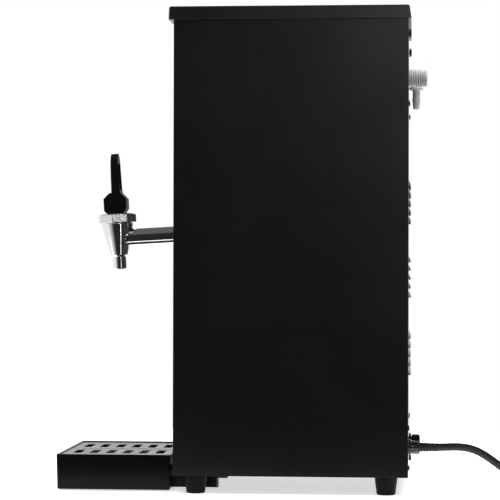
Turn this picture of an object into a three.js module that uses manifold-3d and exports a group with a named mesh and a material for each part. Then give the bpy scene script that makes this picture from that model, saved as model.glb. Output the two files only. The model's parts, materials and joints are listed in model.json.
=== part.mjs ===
// Countertop water dispenser: a slim, plumbed-in hot water boiler with a lever tap and a drip tray.
// Units are millimetres and +Z is up. The tap and the drip tray face -Y, the plumbing and the mains
// lead leave at +Y. The floor is z = 0. The cabinet is centred on x = 0, y = 0 of its own group, and
// that group is shifted along Y so that the whole machine, without its lead, is centred on the origin.

import * as THREE from 'three';
import { mergeVertices } from 'three/addons/utils/BufferGeometryUtils.js';
import Module from 'manifold-3d';

const wasm = await Module();
wasm.setup();

// ---------------------------------------------------------------- driving dimensions

const gap = 0.3;              // clearance left between pieces that touch
const fine = 28;              // sides of the larger round pieces
const plain = 16;             // sides of the small round pieces

const cabinet = { width: 205, depth: 235, bottom: 18, top: 475, sheet: 1.5, flange: 12 };
const half = { x: cabinet.width / 2, y: cabinet.depth / 2 };
const lid = { bottom: 475, height: 13.5, side: 1.5, front: 5.4, rear: 2.8, land: 10, skin: 2.5, corner: 3 };
const foot = { x: 90, y: 95.5, topRadius: 11.3, baseRadius: 9.5, height: cabinet.bottom - gap };

const tap = {
  height: 261.45,             // where the shank's axis leaves the front panel
  tilt: THREE.MathUtils.degToRad(3.3),
  reach: 70.1,                // from the front panel to the tap's own axis
  shankRadius: 9.2,
  bore: 5,
};
const lever = {
  pivot: 36.9,                // heights are measured up the tap's axis from the shank's axis
  bottom: 25.8,
  width: 24,
  thickness: 8.8,
  chamfer: 2,
  top: 88.8,
  lean: 0.012,
  offset: 0.45,
};

const tray = { width: 167, front: -238.6, rear: -122, height: 37, wall: 2.4, floor: 3.2, draft: 1, corner: 1.5 };
// Two prongs run back from the tray under the cabinet. width is across both.
const prong = { width: 124, each: 15, rear: -75.8, bottom: 2.6, top: 15, lipRear: -64.6 };
const grille = { top: 35.8, thickness: 1.2, pitch: 17.1, slot: [8.6, 36], rowCentre: 35 };

const inlet = { x: 45, z: 420.3, radius: 8.9, length: 19, bore: 4.6 };
const overflow = { x: -35, y: 125.3, z: 425.5, radius: 6 };
const drain = { x: -35, z: 40.4, radius: 11.3, length: 11.2 };
const lead = { x: 10, z: 41, diameter: 8 };

const tank = { y: 3, radius: 84, wall: 1.5, bottom: 195, top: 388, flange: 90 };

const shiftY = -(tray.front + half.y + inlet.length) / 2;

// ---------------------------------------------------------------- materials

function finish(color, roughness, metalness = 0) {
  return () => new THREE.MeshStandardMaterial({ color, roughness, metalness });
}

const blackPaint = finish(0x101010, 0.42);
const blackPlastic = finish(0x0c0c0c, 0.35);
const blackRubber = finish(0x0a0a0a, 0.8);
const chrome = finish(0xc8c8c8, 0.12, 1);
const stainless = finish(0xa9a8a5, 0.38, 1);
const zincSteel = finish(0x1a1a1a, 0.4, 0.8);
const brass = finish(0xb08d4a, 0.35, 1);
const greyPlastic = finish(0xa9abad, 0.4);
const whitePlastic = finish(0xe8e8e4, 0.45);
const silicone = finish(0xd9d4cc, 0.6);
const foam = finish(0x3a3a3c, 0.95);
const copper = finish(0xb87333, 0.4, 0.9);
const board = finish(0x1d5b34, 0.5);
const lens = finish(0x3f8fd0, 0.15);

// ---------------------------------------------------------------- geometry helpers

function toSolid(geometry) {
  const bare = geometry.clone();
  bare.deleteAttribute('normal');
  bare.deleteAttribute('uv');
  const merged = mergeVertices(bare, 1e-4);
  const index = merged.index.array;
  const triangles = [];
  for (let i = 0; i < index.length; i += 3) {
    const [a, b, c] = [index[i], index[i + 1], index[i + 2]];
    if (a !== b && b !== c && c !== a) triangles.push(a, b, c);
  }
  return new wasm.Manifold(new wasm.Mesh({
    numProp: 3,
    vertProperties: new Float32Array(merged.attributes.position.array),
    triVerts: new Uint32Array(triangles),
  }));
}

function toGeometry(solid) {
  const mesh = solid.getMesh();
  const geometry = new THREE.BufferGeometry();
  geometry.setAttribute('position', new THREE.BufferAttribute(mesh.vertProperties, 3));
  geometry.setIndex(new THREE.BufferAttribute(mesh.triVerts, 1));
  geometry.computeVertexNormals();
  return geometry;
}

function join(...geometries) {
  return toGeometry(geometries.map(toSolid).reduce((all, next) => all.add(next)));
}

function cut(geometry, ...tools) {
  return toGeometry(tools.map(toSolid).reduce((rest, tool) => rest.subtract(tool), toSolid(geometry)));
}

// A block between two corners.
function block([x0, y0, z0], [x1, y1, z1]) {
  return new THREE.BoxGeometry(x1 - x0, y1 - y0, z1 - z0)
    .translate((x0 + x1) / 2, (y0 + y1) / 2, (z0 + z1) / 2);
}

// A solid of revolution about Z. The profile is a list of [radius, z], from the bottom up the outside.
function turned(profile, sides = fine) {
  const points = profile.map(([radius, z]) => new THREE.Vector2(radius, z));
  return new THREE.LatheGeometry(points, sides).rotateX(Math.PI / 2);
}

// A round bar along Z between two heights.
function rod(radius, z0, z1, sides = plain) {
  return turned([[0, z0], [radius, z0], [radius, z1], [0, z1]], sides);
}

// The same, along +Y from y0 to y1 at the given x and z.
function rodY(radius, y0, y1, x = 0, z = 0, sides = plain) {
  return rod(radius, y0, y1, sides).rotateX(-Math.PI / 2).translate(x, 0, z);
}

// A profile of [radius, distance] turned about the Y axis, with distance running along +Y.
function turnedY(profile, x, z, sides = plain) {
  return turned(profile, sides).rotateX(-Math.PI / 2).translate(x, 0, z);
}

function ring(inner, outer, z0, z1, sides = fine) {
  return turned([[inner, z0], [outer, z0], [outer, z1], [inner, z1], [inner, z0]], sides);
}

function roundedRectangle(width, depth, radius) {
  const [x, y] = [width / 2, depth / 2];
  const shape = new THREE.Shape();
  shape.moveTo(x, radius - y);
  shape.lineTo(x, y - radius);
  shape.absarc(x - radius, y - radius, radius, 0, Math.PI / 2);
  shape.absarc(radius - x, y - radius, radius, Math.PI / 2, Math.PI);
  shape.absarc(radius - x, radius - y, radius, Math.PI, 1.5 * Math.PI);
  shape.absarc(x - radius, radius - y, radius, 1.5 * Math.PI, 2 * Math.PI);
  return shape;
}

// A slab with rounded vertical corners, centred on x and y.
function slab(width, depth, radius, z0, z1, arcSteps = 3) {
  const shape = roundedRectangle(width, depth, radius);
  const options = { depth: z1 - z0, bevelEnabled: false, curveSegments: arcSteps / 2 };
  return new THREE.ExtrudeGeometry(shape, options).translate(0, 0, z0);
}

// An outline of [y, z] points extruded along X, centred on x = 0.
function prismX(outline, width) {
  const shape = new THREE.Shape(outline.map(([y, z]) => new THREE.Vector2(y, z)));
  return new THREE.ExtrudeGeometry(shape, { depth: width, bevelEnabled: false })
    .rotateY(Math.PI / 2)
    .rotateX(Math.PI / 2)
    .translate(-width / 2, 0, 0);
}

// A round tube along a smooth curve through the given points.
function tubeAlong(points, radius, steps, sides = 10) {
  const curve = new THREE.CatmullRomCurve3(points.map((p) => new THREE.Vector3(...p)), false, 'centripetal');
  const section = new THREE.Shape();
  section.absarc(0, 0, radius, 0, 2 * Math.PI);
  const options = { steps, extrudePath: curve, bevelEnabled: false, curveSegments: sides / 2 };
  return new THREE.ExtrudeGeometry(section, options);
}

function named(name, geometry, material) {
  const mesh = new THREE.Mesh(geometry, material());
  mesh.name = name;
  return mesh;
}

// ---------------------------------------------------------------- cabinet

const screwSites = {
  lid: [[92, 460.7], [-92, 460.7]],
  small: [[92, 390.7], [92, 27], [-92, 390.7], [-92, 27]],
};
const allScrews = [...screwSites.lid, ...screwSites.small];
const screwClearance = 2.4;

function screwHoles(y0, y1) {
  return allScrews.map(([x, z]) => rodY(screwClearance, y0, y1, x, z, 12));
}

// A side panel is one folded sheet: the flat side and a narrow flange behind the rear panel.
function sidePanel(side) {
  const { sheet, flange, bottom, top } = cabinet;
  const flangeRear = half.y - sheet - gap;
  const plate = block([half.x - sheet, -half.y, bottom], [half.x, half.y, top - gap]);
  const fold = block([half.x - flange, flangeRear - sheet, bottom], [half.x - gap, flangeRear, top - gap]);
  const holes = screwHoles(flangeRear - 5, flangeRear + 1);
  const panel = cut(join(plate, fold), ...holes);
  return side > 0 ? panel : mirroredX(panel);
}

function mirroredX(geometry) {
  return toGeometry(toSolid(geometry).mirror([1, 0, 0]));
}

const panelInset = half.x - cabinet.sheet - gap;
const control = {
  z: 398,
  width: 78,
  height: 34,
  corner: 6,
  thickness: 3,
  button: 7.8,
  bezel: 8.2,
  travel: 1.5,
};
const statusWindow = { left: 20, right: 32, half: 3, depth: 1.6 };

function frontPanel() {
  const sheet = block(
    [-panelInset, -half.y, cabinet.bottom + gap],
    [panelInset, cabinet.sheet - half.y, cabinet.top - gap],
  );
  const shankHole = rodY(tap.shankRadius + 0.7, -half.y - 2, 4 - half.y, 0, tap.height, fine);
  const buttonHole = rodY(control.bezel, -half.y - 2, 4 - half.y, 0, control.z, fine);
  return cut(sheet, shankHole, buttonHole);
}

// Louvres are pressed outwards: a sloping hood over a slot, with its mouth facing down.
const louvre = {
  banks: [316, 239, 160.5],
  count: 5,
  pitch: 9.1,
  rise: 6.2,
  depth: 2.4,
  width: 124,
  metal: 1.1,
};

function louvreHood(topZ) {
  const back = half.y - 0.2;
  const outer = [[back, topZ - louvre.rise], [half.y + louvre.depth, topZ - louvre.rise + 1], [back, topZ]];
  return prismX(outer, louvre.width);
}

function louvreSlot(topZ) {
  const mouth = topZ - louvre.rise;
  const inside = half.y - cabinet.sheet - 1;
  const lip = half.y + louvre.depth - louvre.metal;
  const outline = [
    [inside, mouth + 0.6],
    [half.y + 0.05, mouth + 0.6],
    [half.y + 0.05, mouth - 0.8],
    [lip, mouth - 0.8],
    [lip, mouth + 1.2],
    [half.y - 0.6, topZ - 2],
    [inside, topZ - 2],
  ];
  return prismX(outline, louvre.width - 2 * louvre.metal);
}

function rearPanel() {
  const sheet = block(
    [-panelInset, half.y - cabinet.sheet, cabinet.bottom + gap],
    [panelInset, half.y, cabinet.top - gap],
  );
  const bank = Array.from({ length: louvre.count }, (_, i) => i * louvre.pitch);
  const tops = louvre.banks.flatMap((top) => bank.map((drop) => top - drop));
  const [y0, y1] = [half.y - 6, half.y + 6];
  return cut(
    join(sheet, ...tops.map(louvreHood)),
    ...tops.map(louvreSlot),
    ...screwHoles(y0, y1),
    rodY(inlet.radius + gap, y0, y1, inlet.x, inlet.z),
    rodY(overflow.radius + gap, y0, y1, overflow.x, overflow.z),
    rodY(8 + gap, y0, y1, drain.x, drain.z),
    rodY(6.2 + gap, y0, y1, lead.x, lead.z),
  );
}

const footSites = [
  ['front_left', -foot.x, -foot.y],
  ['front_right', foot.x, -foot.y],
  ['rear_left', -foot.x, foot.y],
  ['rear_right', foot.x, foot.y],
];
const footScrew = { shank: 2.4, head: 5, headHeight: 3, length: 20 };

function basePlate() {
  const z = [cabinet.bottom, cabinet.bottom + 2];
  const front = cabinet.sheet + gap - half.y;
  const rear = half.y - 2 * cabinet.sheet - 2 * gap;
  const plate = block([-panelInset, front, z[0]], [panelInset, rear, z[1]]);
  const holes = footSites.map(([, x, y]) => rod(footScrew.shank + gap, 10, 30, 12).translate(x, y, 0));
  return cut(plate, ...holes);
}

// The lid is a pressed cap with a wide inward land, and two tabs that the rear screws hold.
function lidCap() {
  const width = cabinet.width + 2 * lid.side;
  const depth = cabinet.depth + lid.front + lid.rear;
  const middle = (lid.rear - lid.front) / 2;
  const top = lid.bottom + lid.height;
  const body = slab(width, depth, lid.corner, lid.bottom, top).translate(0, middle, 0);
  const crown = turned([[0, top - 1], [70, top - 1], [60, top + 0.5], [0, top + 0.8]], fine);
  const pocket = slab(width - 2 * lid.land, depth - 2 * lid.land, 2, lid.bottom - 1, top - lid.skin)
    .translate(0, middle, 0);
  const tabRear = half.y - 2 * cabinet.sheet - 2 * gap - gap;
  const tabs = screwSites.lid.map(([x]) => {
    const inner = Math.sign(x) * (half.x - 20);
    const outer = Math.sign(x) * (half.x - cabinet.sheet - 1);
    return block([Math.min(inner, outer), tabRear - 2, 452], [Math.max(inner, outer), tabRear, top - 2]);
  });
  const holes = screwSites.lid.map(([x, z]) => rodY(screwClearance, tabRear - 4, tabRear + 2, x, z, 12));
  return cut(join(cut(join(body, crown), pocket), ...tabs), ...holes);
}

function taperedFoot() {
  const { topRadius, baseRadius, height } = foot;
  const recess = footScrew.head + 1;
  const profile = [
    [footScrew.shank + gap, 7],
    [recess, 7],
    [recess, 0],
    [baseRadius - 0.8, 0],
    [baseRadius, 0.8],
    [topRadius, height - 2],
    [topRadius, height],
    [footScrew.shank + gap, height],
    [footScrew.shank + gap, 7],
  ];
  return turned(profile, 18);
}

function footScrewSolid() {
  const { shank, head, headHeight, length } = footScrew;
  const z = 7 - gap;
  return turned([
    [0, z - headHeight],
    [head - 1, z - headHeight],
    [head, z - 1.6],
    [head, z],
    [shank, z],
    [shank, z + length],
    [0, z + length],
  ], 16);
}

// A pan-head screw pointing at -Y, its head against the rear panel, with a cross recess.
function panScrew(headRadius, headHeight, shankRadius, length) {
  const face = half.y + gap;
  const profile = [
    [0, face - length],
    [shankRadius, face - length],
    [shankRadius, face],
    [headRadius, face],
    [headRadius, face + headHeight * 0.45],
    [headRadius * 0.62, face + headHeight],
    [0, face + headHeight],
  ];
  const [long, slim, deep] = [headRadius * 0.55, headRadius * 0.13, headHeight * 0.6];
  const tip = face + headHeight;
  const crossX = block([-long, tip - deep, -slim], [long, tip + 1, slim]);
  const crossZ = block([-slim, tip - deep, -long], [slim, tip + 1, long]);
  return cut(turnedY(profile, 0, 0, 16), crossX, crossZ);
}

function addCabinet(group) {
  group.add(named('side_panel_right', sidePanel(1), blackPaint));
  group.add(named('side_panel_left', sidePanel(-1), blackPaint));
  group.add(named('front_panel', frontPanel(), blackPaint));
  group.add(named('rear_panel', rearPanel(), blackPaint));
  group.add(named('base_plate', basePlate(), zincSteel));
  group.add(named('lid', lidCap(), blackPaint));
  for (const [place, x, y] of footSites) {
    const rubber = named(`foot_${place}`, taperedFoot(), blackRubber);
    const screw = named(`foot_screw_${place}`, footScrewSolid(), zincSteel);
    rubber.position.set(x, y, 0);
    screw.position.set(x, y, 0);
    group.add(rubber, screw);
  }
  screwSites.lid.forEach(([x, z], i) => {
    const screw = named(`lid_screw_${i + 1}`, panScrew(4.7, 2.8, 2, 9), zincSteel);
    screw.position.set(x, 0, z);
    group.add(screw);
  });
  screwSites.small.forEach(([x, z], i) => {
    const screw = named(`rear_screw_${i + 1}`, panScrew(3.2, 1.4, 1.5, 7), zincSteel);
    screw.position.set(x, 0, z);
    group.add(screw);
  });
}

// ---------------------------------------------------------------- control panel

function controlFascia() {
  const front = -half.y - gap - control.thickness;
  const plate = slab(control.width, control.height, control.corner, 0, control.thickness)
    .rotateX(Math.PI / 2)
    .translate(0, -half.y - gap, control.z);
  const boss = rodY(control.bezel - gap, front + 1, -half.y + 3, 0, control.z, fine);
  const bore = rodY(control.button + gap - 0.1, front - 2, -half.y + 6, 0, control.z, fine);
  const { left, right, half: rise, depth } = statusWindow;
  const window = block([left, front - 1, control.z - rise], [right, front + depth, control.z + rise]);
  return cut(join(plate, boss), bore, window);
}

function powerButton() {
  const front = -half.y - gap - control.thickness - control.travel;
  return turnedY([
    [0, front],
    [control.button - 1.6, front],
    [control.button - 0.8, front + 0.7],
    [control.button - 0.8, -half.y + 8],
    [0, -half.y + 8],
  ], 0, control.z, fine);
}

function statusLens() {
  const front = -half.y - gap - control.thickness;
  const { left, right, half: rise, depth } = statusWindow;
  return block(
    [left + gap, front - 0.2, control.z - rise + gap],
    [right - gap, front + depth - gap, control.z + rise - gap],
  );
}

function controlBoard() {
  const [y0, y1] = [12 - half.y, 13.6 - half.y];
  const sheet = block([-58, y0, 345], [58, y1, 440]);
  const tact = block([-6, y0 - 1.7, control.z - 6], [6, y0 + 0.5, control.z + 6]);
  const relay = block([-50, y1 - 0.5, 405], [-22, y1 + 9, 425]);
  const terminals = block([12, y1 - 0.5, 350], [52, y1 + 9, 362]);
  const chip = block([-16, y1 - 0.5, 372], [2, y1 + 2, 390]);
  return join(sheet, tact, relay, terminals, chip);
}

function addControls(group) {
  group.add(named('control_panel', controlFascia(), blackPlastic));
  group.add(named('power_button', powerButton(), blackPlastic));
  group.add(named('status_lens', statusLens(), lens));
  group.add(named('control_board', controlBoard(), board));
}

// ---------------------------------------------------------------- tap, in its own tilted group
// Here the tap's axis is x = 0, y = 0 and z = 0 is the height of the shank's axis.

function tapBody() {
  const outer = turned([
    [0, -32.6],
    [6.6, -32.6],
    [7.15, -32],
    [7.15, -19.6],
    [9.05, -17.9],
    [17, 15],
    [15.2, 15.5],
    [15.2, 21],
    [0, 21],
  ]);
  const inner = turned([
    [0, -40],
    [tap.bore, -40],
    [tap.bore, -14],
    [7.6, -13.5],
    [12.2, 4],
    [12.2, 30],
    [0, 30],
  ]);
  const shank = rodY(tap.shankRadius, 0, tap.reach + 22, 0, 0, fine);
  const shankBore = rodY(tap.bore, 0, tap.reach + 40, 0, 0);
  return cut(join(outer, shank), inner, shankBore);
}

function tapWasher() {
  return ring(tap.shankRadius + gap, 12.6, -1.6, 0, fine)
    .rotateX(-Math.PI / 2)
    .translate(0, tap.reach - 1.4, 0);
}

function tapNut() {
  const hex = new THREE.CylinderGeometry(15, 15, 6, 6);
  const bore = rodY(tap.shankRadius + gap, -10, 10, 0, 0, fine);
  return cut(hex, bore).translate(0, tap.reach + cabinet.sheet + 4.6, 0);
}

function collarNut() {
  return turned([
    [15.6, 16],
    [19, 16],
    [19.85, 16.8],
    [19.85, 24.5],
    [19, 25.3],
    [9.6, 25.3],
    [9.6, 23.6],
    [15.6, 23.6],
    [15.6, 16],
  ], 36);
}

function bonnet() {
  return turned([
    [2.8, 8],
    [11.9, 8],
    [11.9, 21.3],
    [15.2, 21.3],
    [15.2, 23.3],
    [9.3, 23.3],
    [9.3, 25],
    [2.8, 25],
    [2.8, 8],
  ], 24);
}

function stem() {
  const shaft = turned([
    [0, -9],
    [2.5, -9],
    [2.5, -7],
    [6, -7],
    [6, -5.5],
    [2.5, -5.5],
    [2.5, lever.pivot + 4],
    [0, lever.pivot + 4],
  ], plain);
  const hole = rod(1.8, -5, 5, 12).rotateY(Math.PI / 2).translate(0, 0, lever.pivot);
  return cut(shaft, hole);
}

function seatCup() {
  return turned([
    [0, -13.2],
    [5.6, -13.2],
    [6.8, -12.2],
    [6.8, -9.8],
    [5.4, -9.3],
    [0, -9.3],
  ], 24);
}

function stemSpring() {
  const [turns, radius, z0, z1] = [5, 4.6, -4.5, 7];
  const points = Array.from({ length: turns * 10 + 1 }, (_, i) => {
    const angle = (i / 10) * 2 * Math.PI;
    return [radius * Math.cos(angle), radius * Math.sin(angle), z0 + ((z1 - z0) * i) / (turns * 10)];
  });
  return tubeAlong(points, 0.55, turns * 10, 6);
}

// The lever: a broad paddle on an eight-sided foot. The foot's front lower edge is a cam that rolls
// on the collar and lifts the stem as the paddle is pulled forward.
function leverHandle() {
  const { pivot, bottom, width, thickness, chamfer, top, lean, offset } = lever;
  const footOutline = [
    [-9.3, bottom],
    [8.2, bottom],
    [11.7, 31],
    [11.7, 41.2],
    [6, 47.4],
    [-5.8, 47.4],
    [-12.1, 41.4],
    [-12.1, 29],
  ];
  const paddle = new THREE.Shape();
  const round = width / 2 - 1.5;
  paddle.moveTo(-width / 2, pivot);
  paddle.lineTo(width / 2, pivot);
  paddle.lineTo(width / 2, top - round);
  paddle.absarc(width / 2 - round, top - round, round, 0, Math.PI / 2);
  paddle.absarc(round - width / 2, top - round, round, Math.PI / 2, Math.PI);
  const blade = new THREE.ExtrudeGeometry(paddle, {
    depth: thickness - 2 * chamfer,
    bevelThickness: chamfer,
    bevelSize: chamfer,
    bevelOffset: -chamfer,
    bevelSegments: 1,
    curveSegments: 6,
  })
    .rotateX(Math.PI / 2)
    .translate(0, thickness / 2 - chamfer, 0);
  blade.rotateX(-lean).translate(0, offset, 0);
  const slot = block([-3.4, -10.2, bottom - 2], [3.4, 4.8, pivot + 5.2]);
  const hole = rod(1.8, -width, width, 12).rotateY(Math.PI / 2).translate(0, 0, pivot);
  return cut(join(prismX(footOutline, width), blade), slot, hole);
}

function leverPin() {
  const end = lever.width / 2 - 0.6;
  return rod(1.5, -end, end, 12).rotateY(Math.PI / 2).translate(0, 0, lever.pivot);
}

function addTap(group) {
  const assembly = new THREE.Group();
  assembly.position.set(0, -half.y, tap.height);
  assembly.rotation.x = tap.tilt;
  const pieces = new THREE.Group();
  pieces.position.y = -tap.reach;
  assembly.add(pieces);
  group.add(assembly);
  pieces.add(named('tap_body', tapBody(), chrome));
  pieces.add(named('tap_washer', tapWasher(), chrome));
  pieces.add(named('tap_nut', tapNut(), brass));
  pieces.add(named('tap_collar', collarNut(), chrome));
  pieces.add(named('tap_bonnet', bonnet(), blackPlastic));
  pieces.add(named('tap_stem', stem(), stainless));
  pieces.add(named('tap_seat', seatCup(), silicone));
  pieces.add(named('stem_spring', stemSpring(), stainless));
  pieces.add(named('tap_lever', leverHandle(), blackPlastic));
  pieces.add(named('lever_pin', leverPin(), stainless));
}

// ---------------------------------------------------------------- drip tray

// Narrows a geometry towards z = 0 by the tray's draft.
function drafted(geometry, halfWidth, halfDepth) {
  const position = geometry.attributes.position;
  for (let i = 0; i < position.count; i += 1) {
    const narrow = 1 - position.getZ(i) / tray.height;
    position.setX(i, position.getX(i) * (1 - (narrow * tray.draft) / halfWidth));
    position.setY(i, position.getY(i) * (1 - (narrow * tray.draft) / halfDepth));
  }
  return geometry;
}

function dripTray() {
  const depth = tray.rear - tray.front;
  const centre = (tray.rear + tray.front) / 2;
  const [halfWidth, halfDepth] = [tray.width / 2, depth / 2];
  const shell = drafted(slab(tray.width, depth, tray.corner, 1.4, tray.height), halfWidth, halfDepth);
  const pads = [[-1, -1], [1, -1], [-1, 1], [1, 1]].map(([i, j]) => (
    rod(6, 0, 3, 12).translate(i * (halfWidth - 14), j * (halfDepth - 14), 0)
  ));
  const { wall, floor } = tray;
  const ledge = grille.top - grille.thickness - gap;
  const seat = slab(tray.width - 2 * wall, depth - 2 * wall, 1.5, ledge, tray.height + 5);
  const well = slab(tray.width - 2 * wall - 5, depth - 2 * wall - 5, 2, floor, tray.height);
  const body = cut(join(shell, ...pads), seat, well).translate(0, centre, 0);
  return cut(join(body, ...prongs()), ...prongPockets(), ...prongGrooves());
}

// The outer face of each prong, as its side (-1 or 1) and its x.
const prongSides = [-1, 1].map((side) => [side, (side * prong.width) / 2]);

function prongs() {
  const middle = (prong.width - prong.each) / 2;
  const lipOutline = [
    [prong.rear - 1, 12],
    [prong.lipRear - 2, 12],
    [prong.lipRear, 14.4],
    [prong.lipRear - 3, 13.6],
    [prong.rear - 1, 13.6],
  ];
  return prongSides.flatMap(([side, outer]) => {
    const inner = outer - side * prong.each;
    const low = [Math.min(inner, outer), tray.rear - 2, prong.bottom];
    const high = [Math.max(inner, outer), prong.rear, prong.top];
    return [block(low, high), prismX(lipOutline, prong.each - 3).translate(side * middle, 0, 0)];
  });
}

function prongPockets() {
  return prongSides.map(([side, outer]) => {
    const [near, far] = [outer - side * 1.8, outer - side * (prong.each - 1.8)];
    return block(
      [Math.min(near, far), tray.rear + 1.6, prong.bottom - 1],
      [Math.max(near, far), prong.rear - 4.4, prong.top - 2.4],
    );
  });
}

function prongGrooves() {
  const x = prong.width / 2 + 1;
  return [4.6, 8, 11].map((z) => block([-x, prong.rear - 1.4, z - 0.7], [x, prong.rear + 1, z + 0.5]));
}

function dripGrille() {
  const centre = (tray.rear + tray.front) / 2;
  const width = tray.width - 2 * tray.wall - 2 * gap;
  const depth = tray.rear - tray.front - 2 * tray.wall - 2 * gap;
  const plate = slab(width, depth, 2.6, grille.top - grille.thickness, grille.top);
  const rib = block([-22, -40, grille.top - 4], [-20.6, 40, grille.top - 0.5]);
  const ribs = [rib, rib.clone().translate(42.6, 0, 0)];
  const [across, along] = grille.slot;
  const slots = [-1, 1].flatMap((row) => Array.from({ length: 6 }, (_, i) => (
    slab(along, across, 1.2, 20, 50, 1).translate(row * grille.rowCentre, (i - 2.5) * grille.pitch, 0)
  )));
  const groove = block([-1.6, -45, grille.top - 0.6], [1.6, 45, grille.top + 1]);
  return cut(join(plate, ...ribs), ...slots, groove).translate(0, centre, 0);
}

function addTray(group) {
  group.add(named('drip_tray', dripTray(), blackPlastic));
  group.add(named('drip_grille', dripGrille(), stainless));
}

// ---------------------------------------------------------------- water tank and its fittings

function waterTank() {
  const { radius, wall, bottom, top, flange } = tank;
  const shell = turned([
    [0, bottom],
    [radius - 3, bottom],
    [radius, bottom + 3],
    [radius, top - 1.5],
    [flange, top - 1.5],
    [flange, top],
    [radius - wall, top],
    [radius - wall, bottom + 3 + wall],
    [radius - 3 - wall, bottom + wall],
    [0, bottom + wall],
  ], 32);
  const stub = rod(7, bottom - 12, bottom + 1, 16);
  const stubBore = rod(5, bottom - 20, bottom + 10, 16);
  const outlet = rodY(8, -radius - 9, -radius + 2, 0, 0, 16).translate(0, 0, tap.height + 4.6);
  const outletBore = rodY(6, -radius - 20, -radius + 10, 0, 0, 16).translate(0, 0, tap.height + 4.6);
  return cut(join(shell, stub, outlet), stubBore, outletBore).translate(0, tank.y, 0);
}

function tankGasket() {
  const z = tank.top + gap;
  return ring(tank.radius, tank.flange - 1, z, z + 2, 32).translate(0, tank.y, 0);
}

const coverFittings = {
  element: [[-14, 30], [14, 30]],
  level: [-30, 0],
  sensor: [30, 0],
  fill: [45, 33],
  overflow: [-35, 50],
};
const cover = { bottom: tank.top + 2 + 2 * gap, thickness: 2 };
const stubTop = cover.bottom + 11 + gap;

function tankCover() {
  const z0 = cover.bottom;
  const z1 = z0 + cover.thickness;
  const { element, level, sensor, fill, overflow: spill } = coverFittings;
  const uprights = (sites, radius, low, high) =>
    sites.map(([x, y]) => rod(radius, low, high, 12).translate(x, y, 0));
  const disc = rod(tank.flange, z0, z1, 32);
  const stubs = uprights([fill, spill], 6, z0 + 1, stubTop - gap);
  const bores = uprights([fill, spill], 4, z0 - 3, stubTop + 5);
  const legs = uprights(element, 4 + gap, z0 - 3, z1 + 3);
  const probes = uprights([level, sensor], 2.8, z0 - 3, z1 + 3);
  return cut(join(disc, ...stubs), ...bores, ...legs, ...probes).translate(0, tank.y, 0);
}

function tankInsulation() {
  const sleeve = ring(tank.radius + gap, tank.radius + 10, tank.bottom + 4, tank.top - 2.2, 32);
  const outletHole = rodY(9, -tank.radius - 30, -tank.radius + 20, 0, tap.height + 4.6, 16);
  return cut(sleeve, outletHole).translate(0, tank.y, 0);
}

// A tubular immersion heater: down from the cover, once round near the tank's floor and up again.
function heatingElement() {
  const [radius, low, high] = [46, tank.bottom + 24, cover.bottom + 22];
  const [[x0, y0], [x1]] = coverFittings.element;
  const start = Math.atan2(y0 + 8, x0 * 1.6);
  const loop = Array.from({ length: 13 }, (_, i) => {
    const angle = start + ((2 * Math.PI - 2 * (start - Math.PI / 2)) * i) / 12;
    return [radius * Math.cos(angle), radius * Math.sin(angle), low];
  });
  const points = [
    [x0, y0, high],
    [x0, y0, (low + high) / 2],
    [x0, y0, low + 30],
    ...loop,
    [x1, y0, low + 30],
    [x1, y0, (low + high) / 2],
    [x1, y0, high],
  ];
  return tubeAlong(points, 4, 50, 8).translate(0, tank.y, 0);
}

function probe([x, y], length) {
  const z = cover.bottom + cover.thickness + gap;
  return turned([
    [0, z - length],
    [1.5, z - length],
    [1.5, z - 6],
    [2.5, z - 5],
    [2.5, z],
    [5, z],
    [5, z + 8],
    [2, z + 9],
    [2, z + 14],
    [0, z + 14],
  ], 16).translate(x, tank.y + y, 0);
}

function thermalCutout() {
  const z = cover.bottom + cover.thickness + gap;
  const can = rod(8, z, z + 7, 20);
  const tabs = block([-7, -12, z + 3], [7, 12, z + 4.2]);
  return join(can, tabs).translate(0, tank.y - 30, 0);
}

// ---------------------------------------------------------------- plumbing

// A bulkhead fitting: ringed thread outside the rear panel, flange and tail inside it.
function inletSpigot() {
  const face = half.y;
  const rings = 8;
  const pitch = (inlet.length - 1) / rings;
  const crest = Array.from({ length: rings }, (_, i) => {
    const y = face + 0.5 + i * pitch;
    return [[inlet.radius - 0.8, y], [inlet.radius, y + pitch * 0.5]];
  }).flat();
  const profile = [
    [inlet.bore, face - 22],
    [7, face - 22],
    [7, face - 5],
    [12.5, face - 5],
    [12.5, face - cabinet.sheet - gap],
    [inlet.radius, face - cabinet.sheet - gap],
    [inlet.radius, face + 0.2],
    ...crest,
    [inlet.radius - 0.7, face + inlet.length],
    [inlet.bore, face + inlet.length],
    [inlet.bore, face - 22],
  ];
  return turnedY(profile, inlet.x, inlet.z, 20);
}

const valve = { rear: half.y - 22 - gap, depth: 26, halfWidth: 11, outlet: 8 };

function inletValve() {
  const { x, z } = inlet;
  const { rear, depth, halfWidth, outlet } = valve;
  const body = block([x - halfWidth, rear - depth, z - 9], [x + halfWidth, rear, z + halfWidth]);
  const neck = rodY(5.4, rear - depth - outlet, rear - depth + 1, x, z, 16);
  const guide = rod(5, z + 10, z + 32, 16).translate(x, rear - depth / 2, 0);
  return join(body, neck, guide);
}

function valveCoil() {
  const { x, z } = inlet;
  const y = valve.rear - valve.depth / 2;
  const winding = ring(5 + gap, 12, z + 11 + gap, z + 31, 20).translate(x, y, 0);
  const terminals = block([x - 5, y - 20, z + 16], [x + 5, y - 9, z + 24]);
  const cleared = rod(5 + gap, z, z + 60, 20).translate(x, y, 0);
  return cut(join(winding, terminals), cleared);
}

// A moulded hose from the valve, forward and down to the stub on the tank's cover.
function fillHose() {
  const { x, z } = inlet;
  const start = valve.rear - valve.depth - valve.outlet - gap;
  const y = tank.y + coverFittings.fill[1];
  return tubeAlong([
    [x, start, z],
    [x, start - 8, z],
    [x, y + 4, z - 4],
    [x, y, z - 11],
    [x, y, stubTop],
  ], 5.4, 10);
}

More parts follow.
